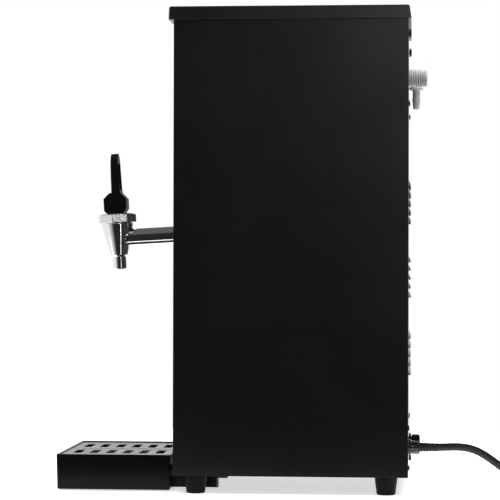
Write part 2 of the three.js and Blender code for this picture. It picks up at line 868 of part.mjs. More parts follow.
// The overflow elbow: out through the rear panel, then down to a collar and a barbed tail.
function overflowElbow() {
  const { x, y, z, radius } = overflow;
  const across = rodY(radius, half.y - 20, y, x, z, 16);
  const bend = new THREE.SphereGeometry(radius, 16, 8).translate(x, y, z);
  const down = turned([
    [0, 394.7],
    [3, 394.7],
    [3.4, 395.2],
    [3.9, 402.6],
    [4.35, 403.4],
    [4.35, 405.4],
    [3.9, 406.6],
    [3.9, 414.6],
    [7.1, 414.9],
    [7.5, 415.4],
    [7.5, 417.6],
    [7.1, 418],
    [radius, 418],
    [radius, z],
    [0, z],
  ], 16).translate(x, y, 0);
  const boreAcross = rodY(2.4, half.y - 30, y, x, z, 10);
  const boreDown = rod(2.4, 380, z, 10).translate(x, y, 0);
  const boreBend = new THREE.SphereGeometry(2.4, 10, 6).translate(x, y, z);
  const inner = rodY(9, half.y - 6, half.y - cabinet.sheet - gap, x, z, 20);
  return cut(join(across, bend, down, inner), boreAcross, boreDown, boreBend);
}

function overflowHose() {
  const [x, y] = coverFittings.overflow;
  const inside = half.y - 20 - gap;
  return tubeAlong([
    [x, tank.y + y, stubTop],
    [x, tank.y + y, stubTop + 9],
    [x, tank.y + y + 7, overflow.z - 5],
    [x, tank.y + y + 17, overflow.z],
    [x, inside, overflow.z],
  ], 5.4, 12);
}

// The drain fitting: an offset plate on the rear panel, a tail inside it and a ribbed screw cap.
function drainFitting() {
  const { x, z } = drain;
  const face = half.y + gap;
  const plate = block([x - 13, face, z - 16.6], [x + 13, face + 2.6, z + 11.6]);
  const corners = [-1, 1].map((side) => (
    block([-4, -10, -4], [4, 10, 4]).rotateY(Math.PI / 4).translate(x + side * 14.5, face + 1, z - 18)
  ));
  const thread = rodY(8, face - 24, face + 9, x, z, 20);
  const bore = rodY(4.5, face - 40, face + 30, x, z, 16);
  return cut(join(cut(plate, ...corners), thread), bore);
}

function drainCap() {
  const { x, z, radius, length } = drain;
  const face = half.y + 2 * gap + 2.6;
  const end = half.y + 1 + length;
  return turnedY([
    [0, face + 6.8],
    [8 + gap, face + 6.8],
    [8 + gap, face],
    [radius, face],
    [radius, end - 0.8],
    [radius - 0.8, end],
    [0, end],
  ], x, z, 36);
}

function drainHose() {
  const bottom = tank.bottom - 12 - gap;
  const inside = half.y + gap - 24 - gap;
  return tubeAlong([
    [0, tank.y, bottom],
    [0, tank.y, bottom - 30],
    [-6, tank.y + 6, bottom - 75],
    [-25, tank.y + 30, drain.z + 22],
    [drain.x, inside - 25, drain.z + 2],
    [drain.x, inside - 10, drain.z],
    [drain.x, inside, drain.z],
  ], 6.5, 30);
}

function addWaterSystem(group) {
  group.add(named('water_tank', waterTank(), stainless));
  group.add(named('tank_gasket', tankGasket(), silicone));
  group.add(named('tank_cover', tankCover(), stainless));
  group.add(named('tank_insulation', tankInsulation(), foam));
  group.add(named('heating_element', heatingElement(), stainless));
  group.add(named('level_probe', probe(coverFittings.level, 60), stainless));
  group.add(named('temperature_probe', probe(coverFittings.sensor, 120), stainless));
  group.add(named('thermal_cutout', thermalCutout(), blackPlastic));
  group.add(named('inlet_spigot', inletSpigot(), greyPlastic));
  group.add(named('inlet_valve', inletValve(), whitePlastic));
  group.add(named('valve_coil', valveCoil(), copper));
  group.add(named('overflow_elbow', overflowElbow(), greyPlastic));
  group.add(named('overflow_hose', overflowHose(), silicone));
  group.add(named('drain_fitting', drainFitting(), blackPlastic));
  group.add(named('drain_cap', drainCap(), blackPlastic));
  group.add(named('drain_hose', drainHose(), silicone));
  group.add(named('fill_hose', fillHose(), silicone));
}

// ---------------------------------------------------------------- mains lead

const cordRadius = lead.diameter / 2;
const relief = { start: half.y + 10.4, length: 20 };
const coil = { x: -42, y: 276, meanRadius: 44, bottom: 0.9 };
const coilHeight = 2 * cordRadius + lead.diameter * Math.sin(Math.PI / 3);

function cordGland() {
  const face = half.y;
  return turnedY([
    [0, face - 8],
    [6.2, face - 8],
    [6.2, face + gap],
    [8.2, face + gap],
    [8.2, face + 2.4],
    [6.8, face + 3.2],
    [6.3, face + 9.4],
    [5.6, relief.start - gap],
    [0, relief.start - gap],
  ], lead.x, lead.z, 20);
}

function cordRelief() {
  const end = relief.start + relief.length;
  return turnedY([
    [0, relief.start],
    [cordRadius + 0.9, relief.start],
    [cordRadius + 0.3, end],
    [0, end],
  ], lead.x, lead.z, 16);
}

// Level out of the relief, then down in an easy S to the floor, and on to the side of the coil.
const cordRoute = [
  [lead.x, 148.2, 41],
  [lead.x, 156, 41],
  [lead.x, 164, 40.8],
  [lead.x, 172, 39.7],
  [lead.x, 180, 37.2],
  [lead.x, 188, 33.3],
  [lead.x, 196, 28.3],
  [lead.x, 204, 22.8],
  [lead.x, 212, 17.4],
  [lead.x, 220, 12.7],
  [lead.x, 228, 8.9],
  [lead.x, 236, 6.3],
  [lead.x, 245.4, 5],
];

function powerCord() {
  return tubeAlong(cordRoute, cordRadius, 24, 10);
}

function cordCoil() {
  const halfWidth = 1.5 * lead.diameter + 0.4;
  const [inner, outer] = [coil.meanRadius - halfWidth, coil.meanRadius + halfWidth];
  const [z0, z1] = [coil.bottom - 0.2, coil.bottom + coilHeight + 0.4];
  return turned([
    [inner + 1.5, z0],
    [outer - 1.5, z0],
    [outer, z0 + 1.5],
    [outer, z0 + 8],
    [outer - 4, z1],
    [inner + 4, z1],
    [inner, z0 + 8],
    [inner, z0 + 1.5],
    [inner + 1.5, z0],
  ], 32).translate(coil.x, coil.y, 0);
}

// The plug lies on the coil on its back, pins up, with a tapered sleeve where the lead enters it.
const coilTop = coil.bottom + coilHeight + 0.4;
const plug = {
  x: coil.x,
  y: coil.y + 24,
  bottom: coilTop + gap,
  relief: 20,
  length: 46,
  width: 50,
  thickness: 20,
};

function mainsPlug() {
  const { x, y, bottom, thickness, width, length } = plug;
  const bodyEnd = x - plug.relief;
  const sleeve = turned([
    [0, 0],
    [cordRadius + 0.4, 0],
    [cordRadius + 2.2, plug.relief + 2],
    [0, plug.relief + 2],
  ], 16).rotateY(-Math.PI / 2).translate(x, y, bottom + thickness / 2);
  const shape = new THREE.Shape();
  const [w, r] = [width / 2, 7];
  const far = bodyEnd - length;
  shape.moveTo(bodyEnd, y - w * 0.55);
  shape.lineTo(bodyEnd, y + w * 0.55);
  shape.lineTo(bodyEnd - 10, y + w);
  shape.lineTo(far + r, y + w);
  shape.absarc(far + r, y + w - r, r, Math.PI / 2, Math.PI);
  shape.absarc(far + r, y - w + r, r, Math.PI, 1.5 * Math.PI);
  shape.lineTo(bodyEnd - 10, y - w);
  const body = new THREE.ExtrudeGeometry(shape, { depth: thickness, bevelEnabled: false, curveSegments: 4 })
    .translate(0, 0, bottom);
  const top = bottom + thickness;
  const pin = (px, py, sx, sy, rise) => block(
    [px - sx / 2, py - sy / 2, top - 1],
    [px + sx / 2, py + sy / 2, top + rise],
  );
  const middle = bodyEnd - 15;
  return join(
    body,
    sleeve,
    pin(middle, y - 11, 4, 6.3, 17.7),
    pin(middle, y + 11, 4, 6.3, 17.7),
    pin(middle - 21.5, y, 8, 4, 22.7),
  );
}

// The tail: an arc that climbs off the coil's upper turns and turns back to the plug.
const tail = { radius: 36, centre: [coil.x, coil.y - 12], from: 8, to: 90 };

function tailPoint(step, steps) {
  const degrees = tail.from + ((tail.to - tail.from) * step) / steps;
  const angle = THREE.MathUtils.degToRad(degrees);
  const low = coilTop + cordRadius + gap;
  const high = plug.bottom + plug.thickness / 2;
  const ease = THREE.MathUtils.smoothstep(step / steps, 0, 1);
  return [
    tail.centre[0] + tail.radius * Math.cos(angle),
    tail.centre[1] + tail.radius * Math.sin(angle),
    low + (high - low) * ease,
  ];
}

function cordTail() {
  const steps = 8;
  const points = Array.from({ length: steps }, (_, i) => tailPoint(i, steps));
  const [x, y, z] = tailPoint(steps, steps);
  return tubeAlong([...points, [x + 2 * gap, y, z]], cordRadius, 8, 10);
}

function addLead(group) {
  group.add(named('cord_gland', cordGland(), blackPlastic));
  group.add(named('cord_relief', cordRelief(), blackRubber));
  group.add(named('power_cord', powerCord(), blackRubber));
  group.add(named('cord_coil', cordCoil(), blackRubber));
  group.add(named('cord_tail', cordTail(), blackRubber));
  group.add(named('mains_plug', mainsPlug(), blackPlastic));
}

// ---------------------------------------------------------------- assembly

const dispenser = new THREE.Group();
const machine = new THREE.Group();
machine.position.y = shiftY;
dispenser.add(machine);
addCabinet(machine);
addControls(machine);
addTap(machine);
addTray(machine);
addWaterSystem(machine);
addLead(machine);

export default dispenser;
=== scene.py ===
import json
import math

import bmesh
import bpy
from mathutils import Matrix, Vector

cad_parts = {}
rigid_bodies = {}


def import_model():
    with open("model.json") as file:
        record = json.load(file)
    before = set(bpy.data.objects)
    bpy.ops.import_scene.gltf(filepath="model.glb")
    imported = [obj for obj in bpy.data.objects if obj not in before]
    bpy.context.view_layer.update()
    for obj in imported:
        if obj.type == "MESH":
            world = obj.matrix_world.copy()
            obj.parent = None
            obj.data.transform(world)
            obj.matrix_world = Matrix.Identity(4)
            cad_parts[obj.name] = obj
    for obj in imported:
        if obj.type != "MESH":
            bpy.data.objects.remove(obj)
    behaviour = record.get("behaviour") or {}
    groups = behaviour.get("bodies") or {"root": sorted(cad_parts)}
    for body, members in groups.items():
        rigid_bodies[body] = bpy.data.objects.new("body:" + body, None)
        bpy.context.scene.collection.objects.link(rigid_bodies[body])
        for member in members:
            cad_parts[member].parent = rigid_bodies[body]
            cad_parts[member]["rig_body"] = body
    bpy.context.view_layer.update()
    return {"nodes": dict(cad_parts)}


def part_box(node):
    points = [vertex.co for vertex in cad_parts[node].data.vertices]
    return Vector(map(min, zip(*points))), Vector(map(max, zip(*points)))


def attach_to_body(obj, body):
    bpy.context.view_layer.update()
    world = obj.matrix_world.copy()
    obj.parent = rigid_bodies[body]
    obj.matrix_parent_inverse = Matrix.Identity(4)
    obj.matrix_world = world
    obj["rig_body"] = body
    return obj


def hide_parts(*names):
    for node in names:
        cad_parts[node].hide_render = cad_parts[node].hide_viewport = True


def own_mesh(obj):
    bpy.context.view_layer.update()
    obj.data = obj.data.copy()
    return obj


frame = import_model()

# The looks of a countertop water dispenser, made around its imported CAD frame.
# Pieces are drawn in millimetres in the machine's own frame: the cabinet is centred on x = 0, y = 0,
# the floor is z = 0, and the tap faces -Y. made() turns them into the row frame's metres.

MM = 0.001
panel_low, panel_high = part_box("side_panel_right")
CENTRE_Y = (panel_low.y + panel_high.y) / 2
HALF_Y = (panel_high.y - panel_low.y) / 2 / MM
TO_ROW = Matrix.Translation((0, CENTRE_Y, 0)) @ Matrix.Scale(MM, 4)


def span(node):
    """Lowest and highest corner of a CAD node, in the machine's millimetres."""
    return tuple(TO_ROW.inverted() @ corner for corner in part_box(node))


def placed(name, data):
    """A new object in the scene."""
    item = bpy.data.objects.new(name, data)
    bpy.context.scene.collection.objects.link(item)
    return item


# ---------------------------------------------------------------- camera, light and floor

LENS = 149.11
CAMERA_PLACE = (2164.55, 122.96, 222.60)
YAW, PITCH, ROLL = 0.0790, 0.01036, 0.00223

# Each softbox: name, place, the point it faces, size in metres, watts, and whether gloss shows it.
SOFTBOXES = [
    ("overhead", (0.0, 0.1, 2.4), (0, 0.1, 0), (3.0, 3.0), 120, False),
    ("side_fill", (2.0, 0.56, 0.86), (0, 0.1, 0.3), (0.4, 0.4), 4.4, True),
    ("strip", (1.96, 1.08, 0.15), (0, -0.1, 0.25), (0.09, 2.6), 4, True),
]
# How bright the studio's walls are by azimuth in degrees, where 0 is the side that the camera is on.
WALLS = [
    (-86, 1.0), (-66, 0.95), (-50, 0.5), (-34, 0.25), (-27, 0.025), (24, 0.02),
    (38, 0.03), (60, 0.16), (95, 0.5), (140, 1.0),
]
CEILING = (0.13, 0.13, 0.13)
CEILING_STARTS, CEILING_FULL = 0.35, 0.7
FLOOR_EDGES = (-0.75, -0.8, 0.165, 0.95)
FLOOR_GLOW = 0.62


def make_camera():
    """A long lens level with the tap's spout, square to the machine's side but for a few degrees."""
    data = bpy.data.cameras.new("camera")
    data.sensor_width = 36
    data.lens = LENS
    data.clip_end = 100
    camera = placed("camera", data)
    forward = Vector((-math.cos(YAW) * math.cos(PITCH), -math.sin(YAW) * math.cos(PITCH), math.sin(PITCH)))
    right = Vector((-math.sin(YAW), math.cos(YAW), 0))
    up = right.cross(forward)
    tilted_right = right * math.cos(ROLL) + up * math.sin(ROLL)
    tilted_up = up * math.cos(ROLL) - right * math.sin(ROLL)
    facing = Matrix((tilted_right, tilted_up, -forward)).transposed().to_4x4()
    camera.matrix_world = Matrix.Translation(TO_ROW @ Vector(CAMERA_PLACE)) @ facing
    bpy.context.scene.camera = camera


def softbox(name, place, aim, size, power, shown_in_gloss):
    """A rectangular light that faces a point."""
    data = bpy.data.lights.new(name, "AREA")
    data.shape = "RECTANGLE"
    data.size, data.size_y = size
    data.energy = power
    light = placed(name, data)
    direction = Vector(aim) - Vector(place)
    light.matrix_world = Matrix.Translation(place) @ direction.to_track_quat("-Z", "Y").to_matrix().to_4x4()
    light.visible_camera = False
    light.visible_glossy = shown_in_gloss


def attach(tree, socket, value):
    """Links a socket to a node's output, or sets it to a constant."""
    if isinstance(value, bpy.types.NodeSocket):
        tree.links.new(value, socket)
    else:
        socket.default_value = value


def maths(tree, operation, *values):
    node = tree.nodes.new("ShaderNodeMath")
    node.operation = operation
    for socket, value in zip(node.inputs, values):
        attach(tree, socket, value)
    return node.outputs[0]


def spread(tree, value, low, high, start=0.3, end=0.7, interpolation="LINEAR"):
    """Maps start to end onto low to high, and holds the ends beyond them."""
    node = tree.nodes.new("ShaderNodeMapRange")
    node.interpolation_type = interpolation
    settings = {"Value": value, "From Min": start, "From Max": end, "To Min": low, "To Max": high}
    for name, setting in settings.items():
        attach(tree, node.inputs[name], setting)
    return node.outputs[0]


def mixed(tree, factor, a, b):
    """A mix of two colours, each a tuple or a node's output."""
    node = tree.nodes.new("ShaderNodeMix")
    node.data_type = "RGBA"
    for name, value in (("A", a), ("B", b)):
        attach(tree, node.inputs[name], (*value, 1) if isinstance(value, tuple) else value)
    attach(tree, node.inputs["Factor"], factor)
    return node.outputs["Result"]


def make_studio():
    """White walls behind and to the tap's side, a dark opening towards the camera and a dim ceiling."""
    scene = bpy.context.scene
    scene.view_settings.view_transform = "Standard"
    scene.world = bpy.data.worlds.new("studio")
    scene.world.use_nodes = True
    tree = scene.world.node_tree
    tree.nodes.clear()
    direction = tree.nodes.new("ShaderNodeTexCoord")
    split = tree.nodes.new("ShaderNodeSeparateXYZ")
    attach(tree, split.inputs[0], direction.outputs["Generated"])
    azimuth = maths(tree, "ARCTAN2", split.outputs["Y"], split.outputs["X"])
    walls = tree.nodes.new("ShaderNodeValToRGB")
    for element, end in zip(walls.color_ramp.elements, (0, 1)):
        element.position = end
        element.color = (1, 1, 1, 1)
    for degrees, grey in WALLS:
        walls.color_ramp.elements.new(degrees / 360 + 0.5).color = (grey, grey, grey, 1)
    attach(tree, walls.inputs["Fac"], maths(tree, "MULTIPLY_ADD", azimuth, 0.5 / math.pi, 0.5))
    height = spread(tree, split.outputs["Z"], 0, 1, CEILING_STARTS, CEILING_FULL, "SMOOTHSTEP")
    around = mixed(tree, height, walls.outputs["Color"], CEILING)
    seen = tree.nodes.new("ShaderNodeLightPath")
    background = tree.nodes.new("ShaderNodeBackground")
    shown = mixed(tree, seen.outputs["Is Camera Ray"], around, (1, 1, 1))
    attach(tree, background.inputs["Color"], shown)
    output = tree.nodes.new("ShaderNodeOutputWorld")
    attach(tree, output.inputs["Surface"], background.outputs[0])
    for settings in SOFTBOXES:
        softbox(*settings)


def make_floor():
    """A pale table top, lit from within as well as from above so that shadows on it stay faint."""
    bm = bmesh.new()
    bm.faces.new([bm.verts.new((x, y, 0)) for x, y in rectangle(*FLOOR_EDGES)])
    mesh = bpy.data.meshes.new("floor")
    bm.to_mesh(mesh)
    bm.free()
    floor = placed("floor", mesh)
    material = bpy.data.materials.new("floor")
    material.use_nodes = True
    shader = material.node_tree.nodes["Principled BSDF"]
    shader.inputs["Base Color"].default_value = (0.8, 0.8, 0.8, 1)
    shader.inputs["Roughness"].default_value = 0.9
    shader.inputs["Emission Color"].default_value = (1, 1, 1, 1)
    shader.inputs["Emission Strength"].default_value = FLOOR_GLOW
    mesh.materials.append(material)


# ---------------------------------------------------------------- materials

GREY_EDGE = (0.03, 0.03, 0.03)
WEAR_SCALE = 220
WEAR_TURN = (0.90, 0.995)      # how far a normal turns at a worn edge and at an unworn face
WEAR_PATCHES = (0.45, 0.65)
BRUSH_LINES = {"X": (0.02, 1, 1), "Y": (1, 0.02, 1)}


def surface(
    name, colour, roughness, grain, blotch, metallic=0.0, specular=0.5, tone=0.12,
    worn=None, brushed=None, coat=0.0, transmission=0.0, subsurface=0.0,
):
    """A procedural finish: colour and roughness drift, a fine grain bumps the surface, and edges wear.

    roughness is its lowest and highest value, grain is (scale, depth), worn is (colour, edge width in
    metres), and brushed is the axis that brush lines run along.
    """
    material = bpy.data.materials.new(name)
    material.use_nodes = True
    tree = material.node_tree
    shader = tree.nodes["Principled BSDF"]
    place = tree.nodes.new("ShaderNodeTexCoord")
    settings = {
        "Metallic": metallic,
        "Specular IOR Level": specular,
        "Coat Weight": coat,
        "Coat Roughness": 0.08,
        "Transmission Weight": transmission,
        "Subsurface Weight": subsurface,
        "Subsurface Radius": (0.004, 0.004, 0.004),
        "Subsurface Scale": 1.0,
    }
    for socket, value in settings.items():
        shader.inputs[socket].default_value = value

    def noise(scale, detail=3.0, stretch=None):
        node = tree.nodes.new("ShaderNodeTexNoise")
        node.inputs["Scale"].default_value = scale
        node.inputs["Detail"].default_value = detail
        source = place.outputs["Object"]
        if stretch:
            mapping = tree.nodes.new("ShaderNodeMapping")
            mapping.inputs["Scale"].default_value = stretch
            attach(tree, mapping.inputs["Vector"], source)
            source = mapping.outputs[0]
        attach(tree, node.inputs["Vector"], source)
        return node.outputs["Fac"]

    drift = noise(blotch)
    darker = tuple(c * (1 - tone) for c in colour)
    lighter = tuple(min(1.0, c * (1 + tone)) for c in colour)
    tint = mixed(tree, spread(tree, drift, 0, 1), darker, lighter)
    if worn:
        edge_colour, width = worn
        rounded = tree.nodes.new("ShaderNodeBevel")
        rounded.samples = 6
        rounded.inputs["Radius"].default_value = width
        flat = tree.nodes.new("ShaderNodeNewGeometry")
        turn = tree.nodes.new("ShaderNodeVectorMath")
        turn.operation = "DOT_PRODUCT"
        attach(tree, turn.inputs[0], rounded.outputs[0])
        attach(tree, turn.inputs[1], flat.outputs["Normal"])
        edge = spread(tree, turn.outputs["Value"], 1, 0, *WEAR_TURN)
        patches = spread(tree, noise(WEAR_SCALE), 0, 1, *WEAR_PATCHES)
        tint = mixed(tree, maths(tree, "MULTIPLY", edge, patches), tint, edge_colour)
    attach(tree, shader.inputs["Base Color"], tint)
    scale, depth = grain
    fine = noise(scale, 2.0, BRUSH_LINES.get(brushed))
    uneven = maths(tree, "MULTIPLY_ADD", fine, 0.5, maths(tree, "MULTIPLY", drift, 0.5))
    attach(tree, shader.inputs["Roughness"], spread(tree, uneven, *roughness, 0.35, 0.65))
    bump = tree.nodes.new("ShaderNodeBump")
    bump.inputs["Strength"].default_value = 1.0
    bump.inputs["Distance"].default_value = depth
    attach(tree, bump.inputs["Height"], fine)
    attach(tree, shader.inputs["Normal"], bump.outputs[0])
    return material


LOOKS = {
    "black_paint": dict(
        colour=(0.0072, 0.0072, 0.0074), roughness=(0.26, 0.32), specular=0.46,
        grain=(1100, 0.00003), blotch=14, worn=(GREY_EDGE, 0.0007),
    ),
    "lid_black": dict(
        colour=(0.0085, 0.0085, 0.0088), roughness=(0.28, 0.34), specular=0.50,
        grain=(1100, 0.00003), blotch=18, worn=(GREY_EDGE, 0.0009),
    ),
    "black_plastic": dict(
        colour=(0.0032, 0.0032, 0.0034), roughness=(0.20, 0.30), specular=0.13,
        grain=(1600, 0.000012), blotch=40, worn=(GREY_EDGE, 0.0004),
    ),
    "lever_plastic": dict(
        colour=(0.0060, 0.0060, 0.0062), roughness=(0.42, 0.54), specular=0.07,
        grain=(1800, 0.000010), blotch=80, worn=(GREY_EDGE, 0.0004),
    ),
    "gloss_black": dict(
        colour=(0.003, 0.003, 0.0034), roughness=(0.10, 0.18), grain=(500, 0.000006), blotch=90, coat=0.4,
    ),
    "black_rubber": dict(
        colour=(0.0030, 0.0030, 0.0030), roughness=(0.46, 0.60), specular=0.12,
        grain=(1400, 0.00005), blotch=90, tone=0.25, worn=((0.02, 0.02, 0.02), 0.0006),
    ),
    "cord_jacket": dict(
        colour=(0.008, 0.008, 0.0085), roughness=(0.34, 0.46), specular=0.45,
        grain=(1500, 0.00003), blotch=45, tone=0.2,
    ),
    "chrome": dict(
        colour=(0.80, 0.80, 0.81), roughness=(0.035, 0.10), metallic=1.0,
        grain=(260, 0.000004), blotch=110, tone=0.03,
    ),
    "stainless": dict(
        colour=(0.30, 0.295, 0.285), roughness=(0.28, 0.42), metallic=1.0,
        grain=(2600, 0.000010), blotch=35, tone=0.05, brushed="Y",
    ),
    "satin_chrome": dict(
        colour=(0.74, 0.74, 0.75), roughness=(0.21, 0.31), metallic=1.0,
        grain=(1500, 0.00005), blotch=180, tone=0.06,
    ),
    "zinc_black": dict(
        colour=(0.030, 0.030, 0.032), roughness=(0.30, 0.46), metallic=0.85,
        grain=(1200, 0.000015), blotch=160, tone=0.25, worn=((0.16, 0.16, 0.16), 0.0003),
    ),
    "brass": dict(
        colour=(0.66, 0.46, 0.20), roughness=(0.22, 0.38), metallic=1.0,
        grain=(1500, 0.000012), blotch=120, tone=0.08,
    ),
    "grey_plastic": dict(
        colour=(0.66, 0.665, 0.675), roughness=(0.34, 0.46), specular=0.3,
        grain=(1300, 0.00002), blotch=120, tone=0.06, subsurface=0.55,
    ),
    "white_plastic": dict(
        colour=(0.78, 0.78, 0.75), roughness=(0.34, 0.48), grain=(1200, 0.00002), blotch=90, tone=0.05,
    ),
    "silicone": dict(
        colour=(0.74, 0.71, 0.65), roughness=(0.40, 0.55), grain=(800, 0.00002), blotch=70, tone=0.06,
        subsurface=0.3,
    ),
    "foam": dict(
        colour=(0.045, 0.045, 0.05), roughness=(0.85, 0.97), grain=(700, 0.0003), blotch=90, tone=0.35,
    ),
    "copper": dict(
        colour=(0.62, 0.27, 0.13), roughness=(0.24, 0.36), metallic=0.9,
        grain=(2400, 0.00006), blotch=120, brushed="X",
    ),
    "circuit_board": dict(
        colour=(0.018, 0.12, 0.045), roughness=(0.26, 0.44), grain=(600, 0.00003), blotch=260, tone=0.35,
    ),
    "status_lens": dict(
        colour=(0.10, 0.32, 0.72), roughness=(0.05, 0.12), grain=(300, 0.000004), blotch=200,
        tone=0.1, transmission=0.6,
    ),
}


# ---------------------------------------------------------------- mesh helpers


def round_corners(outline, radius, steps=4, closed=True):
    """Replaces each corner of a flat outline with an arc. radius is one number, or one for each corner."""
    count = len(outline)
    nearly_straight, most_of_an_edge = 1.5, 0.48
    radii = [radius] * count if isinstance(radius, (int, float)) else radius
    out = []
    for i, here in enumerate(outline):
        if (not closed and i in (0, count - 1)) or radii[i] <= 0:
            out.append(tuple(here))
            continue
        corner = Vector(here)
        back = Vector(outline[i - 1]) - corner
        ahead = Vector(outline[(i + 1) % count]) - corner
        half_angle = back.angle(ahead) / 2
        if half_angle > nearly_straight:
            out.append(tuple(here))
            continue
        reach = min(radii[i] / math.tan(half_angle), most_of_an_edge * min(back.length, ahead.length))
        bisector = (back.normalized() + ahead.normalized()).normalized()
        centre = corner + bisector * (reach / math.cos(half_angle))
        first = corner + back.normalized() * reach - centre
        last = corner + ahead.normalized() * reach - centre
        for k in range(steps + 1):
            ray = first.lerp(last, k / steps).normalized() * first.length
            out.append(tuple(centre + ray))
    return out


def rectangle(x0, y0, x1, y1):
    return [(x0, y0), (x1, y0), (x1, y1), (x0, y1)]


def circle(radius, count, x=0, y=0):
    turns = [2 * math.pi * i / count for i in range(count)]
    return [(x + radius * math.cos(t), y + radius * math.sin(t)) for t in turns]


def skin(rings, loop=False):
    """A closed mesh over rings of equal length. The last ring joins the first, or both are capped."""
    bm = bmesh.new()
    rows = [[bm.verts.new(p) for p in ring] for ring in rings]
    pairs = list(zip(rows, rows[1:]))
    if loop:
        pairs.append((rows[-1], rows[0]))
    for low, high in pairs:
        for i in range(len(low)):
            j = (i + 1) % len(low)
            bm.faces.new((low[i], low[j], high[j], high[i]))
    if not loop:
        bm.faces.new(rows[0][::-1])
        bm.faces.new(rows[-1])
    bmesh.ops.remove_doubles(bm, verts=bm.verts, dist=1e-4)
    bmesh.ops.recalc_face_normals(bm, faces=bm.faces)
    return bm


def turned(profile, sides=64, loop=False, wave=None):
    """A solid of revolution about Z over (radius, z) points, with wave(radius, angle, z) added."""
    rings = []
    for radius, z in profile:
        ring = []
        for i in range(sides):
            angle = 2 * math.pi * i / sides
            r = radius + wave(radius, angle, z) if wave else radius
            ring.append((r * math.cos(angle), r * math.sin(angle), z))
        rings.append(ring)
    return skin(rings, loop)


def lathed(profile, radius, steps, sides, loop=False):
    """A solid of revolution with rounded corners. A loop is a closed section, clear of the axis."""
    return turned(round_corners(profile, radius, steps, closed=loop), sides, loop)


def prism(outline, low, high):
    """A flat outline of (a, b) points, extruded along Z."""
    return skin([[(a, b, low) for a, b in outline], [(a, b, high) for a, b in outline]])


def box(low, high):
    return prism(rectangle(low[0], low[1], high[0], high[1]), low[2], high[2])


def turn(bm, axis, degrees, shift=(0, 0, 0)):
    bm.transform(Matrix.Translation(shift) @ Matrix.Rotation(math.radians(degrees), 4, axis))
    return bm


def along_y(bm, x=0, y=0, z=0):
    """Lays a shape's Z axis along +Y."""
    return turn(bm, "X", -90, (x, y, z))


def along_x(bm):
    """Turns a (y, z) outline that was extruded along Z so that it is extruded along X."""
    bm.transform(Matrix(((0, 0, 1, 0), (1, 0, 0, 0), (0, 1, 0, 0), (0, 0, 0, 1))))
    return bm


def merged(*parts):
    """Several closed shapes as one mesh."""
    mesh = bpy.data.meshes.new("merged")
    whole = bmesh.new()
    for bm in parts:
        bm.to_mesh(mesh)
        whole.from_mesh(mesh)
        bm.free()
    bpy.data.meshes.remove(mesh)
    return whole


def combined(base, operation, *tools):
    """base joined with or cut by each tool, as an exact boolean."""
    def as_object(bm):
        mesh = bpy.data.meshes.new("work")
        bm.to_mesh(mesh)
        bm.free()
        return placed("work", mesh)

    target = as_object(base)
    others = [as_object(tool) for tool in tools]
    for other in others:
        modifier = target.modifiers.new("boolean", "BOOLEAN")
        modifier.operation = operation
        modifier.solver = "EXACT"
        modifier.object = other
    graph = bpy.context.evaluated_depsgraph_get()
    result = bmesh.new()
    result.from_object(target, graph)
    for item in [target, *others]:
        mesh = item.data
        bpy.data.objects.remove(item)
        bpy.data.meshes.remove(mesh)
    bmesh.ops.remove_doubles(result, verts=result.verts, dist=1e-3)
    return result


def bevelled(bm, width, segments=3, angle=35):
    """Rounds the edges that are sharper than an angle."""
    bmesh.ops.dissolve_limit(bm, angle_limit=math.radians(0.6), verts=bm.verts, edges=bm.edges)
    sharp = [e for e in bm.edges if len(e.link_faces) == 2 and e.calc_face_angle(0) > math.radians(angle)]
    bmesh.ops.bevel(
        bm, geom=sharp, offset=width, segments=segments, profile=0.5, affect="EDGES", clamp_overlap=True
    )
    return bm


def swept(path, radius, sides=20):
    """A tube along a path. radius is one number or one for each point of the path."""
    points = [Vector(p) for p in path]
    radii = [radius] * len(points) if isinstance(radius, (int, float)) else radius
    side = Vector((0, 0, 1))
    rings = []
    for i, here in enumerate(points):
        ahead = points[min(i + 1, len(points) - 1)] - points[max(i - 1, 0)]
        ahead.normalize()
        side = side - ahead * side.dot(ahead)
        if side.length < 1e-3:
            side = ahead.orthogonal()
        side.normalize()
        other = ahead.cross(side)
        rings.append([here + (side * a + other * b) * radii[i] for a, b in circle(1, sides)])
    return skin(rings)


def smooth_path(points, per_span=6):
    """A Catmull-Rom curve through the points."""
    p = [Vector(q) for q in points]
    p = [2 * p[0] - p[1], *p, 2 * p[-1] - p[-2]]
    out = []
    for i in range(1, len(p) - 2):
        for k in range(per_span):
            t = k / per_span
            a, b, c, d = p[i - 1], p[i], p[i + 1], p[i + 2]
            out.append(0.5 * (2 * b + (c - a) * t + (2 * a - 5 * b + 4 * c - d) * t * t
                              + (3 * b - a - 3 * c + d) * t ** 3))
    out.append(p[-2])
    return out


def plate(outline, holes, thickness, edge=0.3):
    """A flat sheet with holes and rounded edges, in the XY plane and centred on z = 0."""
    data = bpy.data.curves.new("plate", "CURVE")
    data.dimensions = "2D"
    data.fill_mode = "BOTH"
    data.extrude = thickness / 2 - edge
    data.bevel_depth = edge
    data.bevel_resolution = 2
    data.offset = -edge
    for loop in [outline, *holes]:
        spline = data.splines.new("POLY")
        spline.points.add(len(loop) - 1)
        for point, (x, y) in zip(spline.points, loop):
            point.co = (x, y, 0, 1)
        spline.use_cyclic_u = True
    item = placed("plate", data)
    graph = bpy.context.evaluated_depsgraph_get()
    mesh = bpy.data.meshes.new_from_object(item.evaluated_get(graph))
    bm = bmesh.new()
    bm.from_mesh(mesh)
    bpy.data.objects.remove(item)
    bpy.data.curves.remove(data)
    bpy.data.meshes.remove(mesh)
    bmesh.ops.remove_doubles(bm, verts=bm.verts, dist=1e-4)
    bmesh.ops.recalc_face_normals(bm, faces=bm.faces)
    return bm


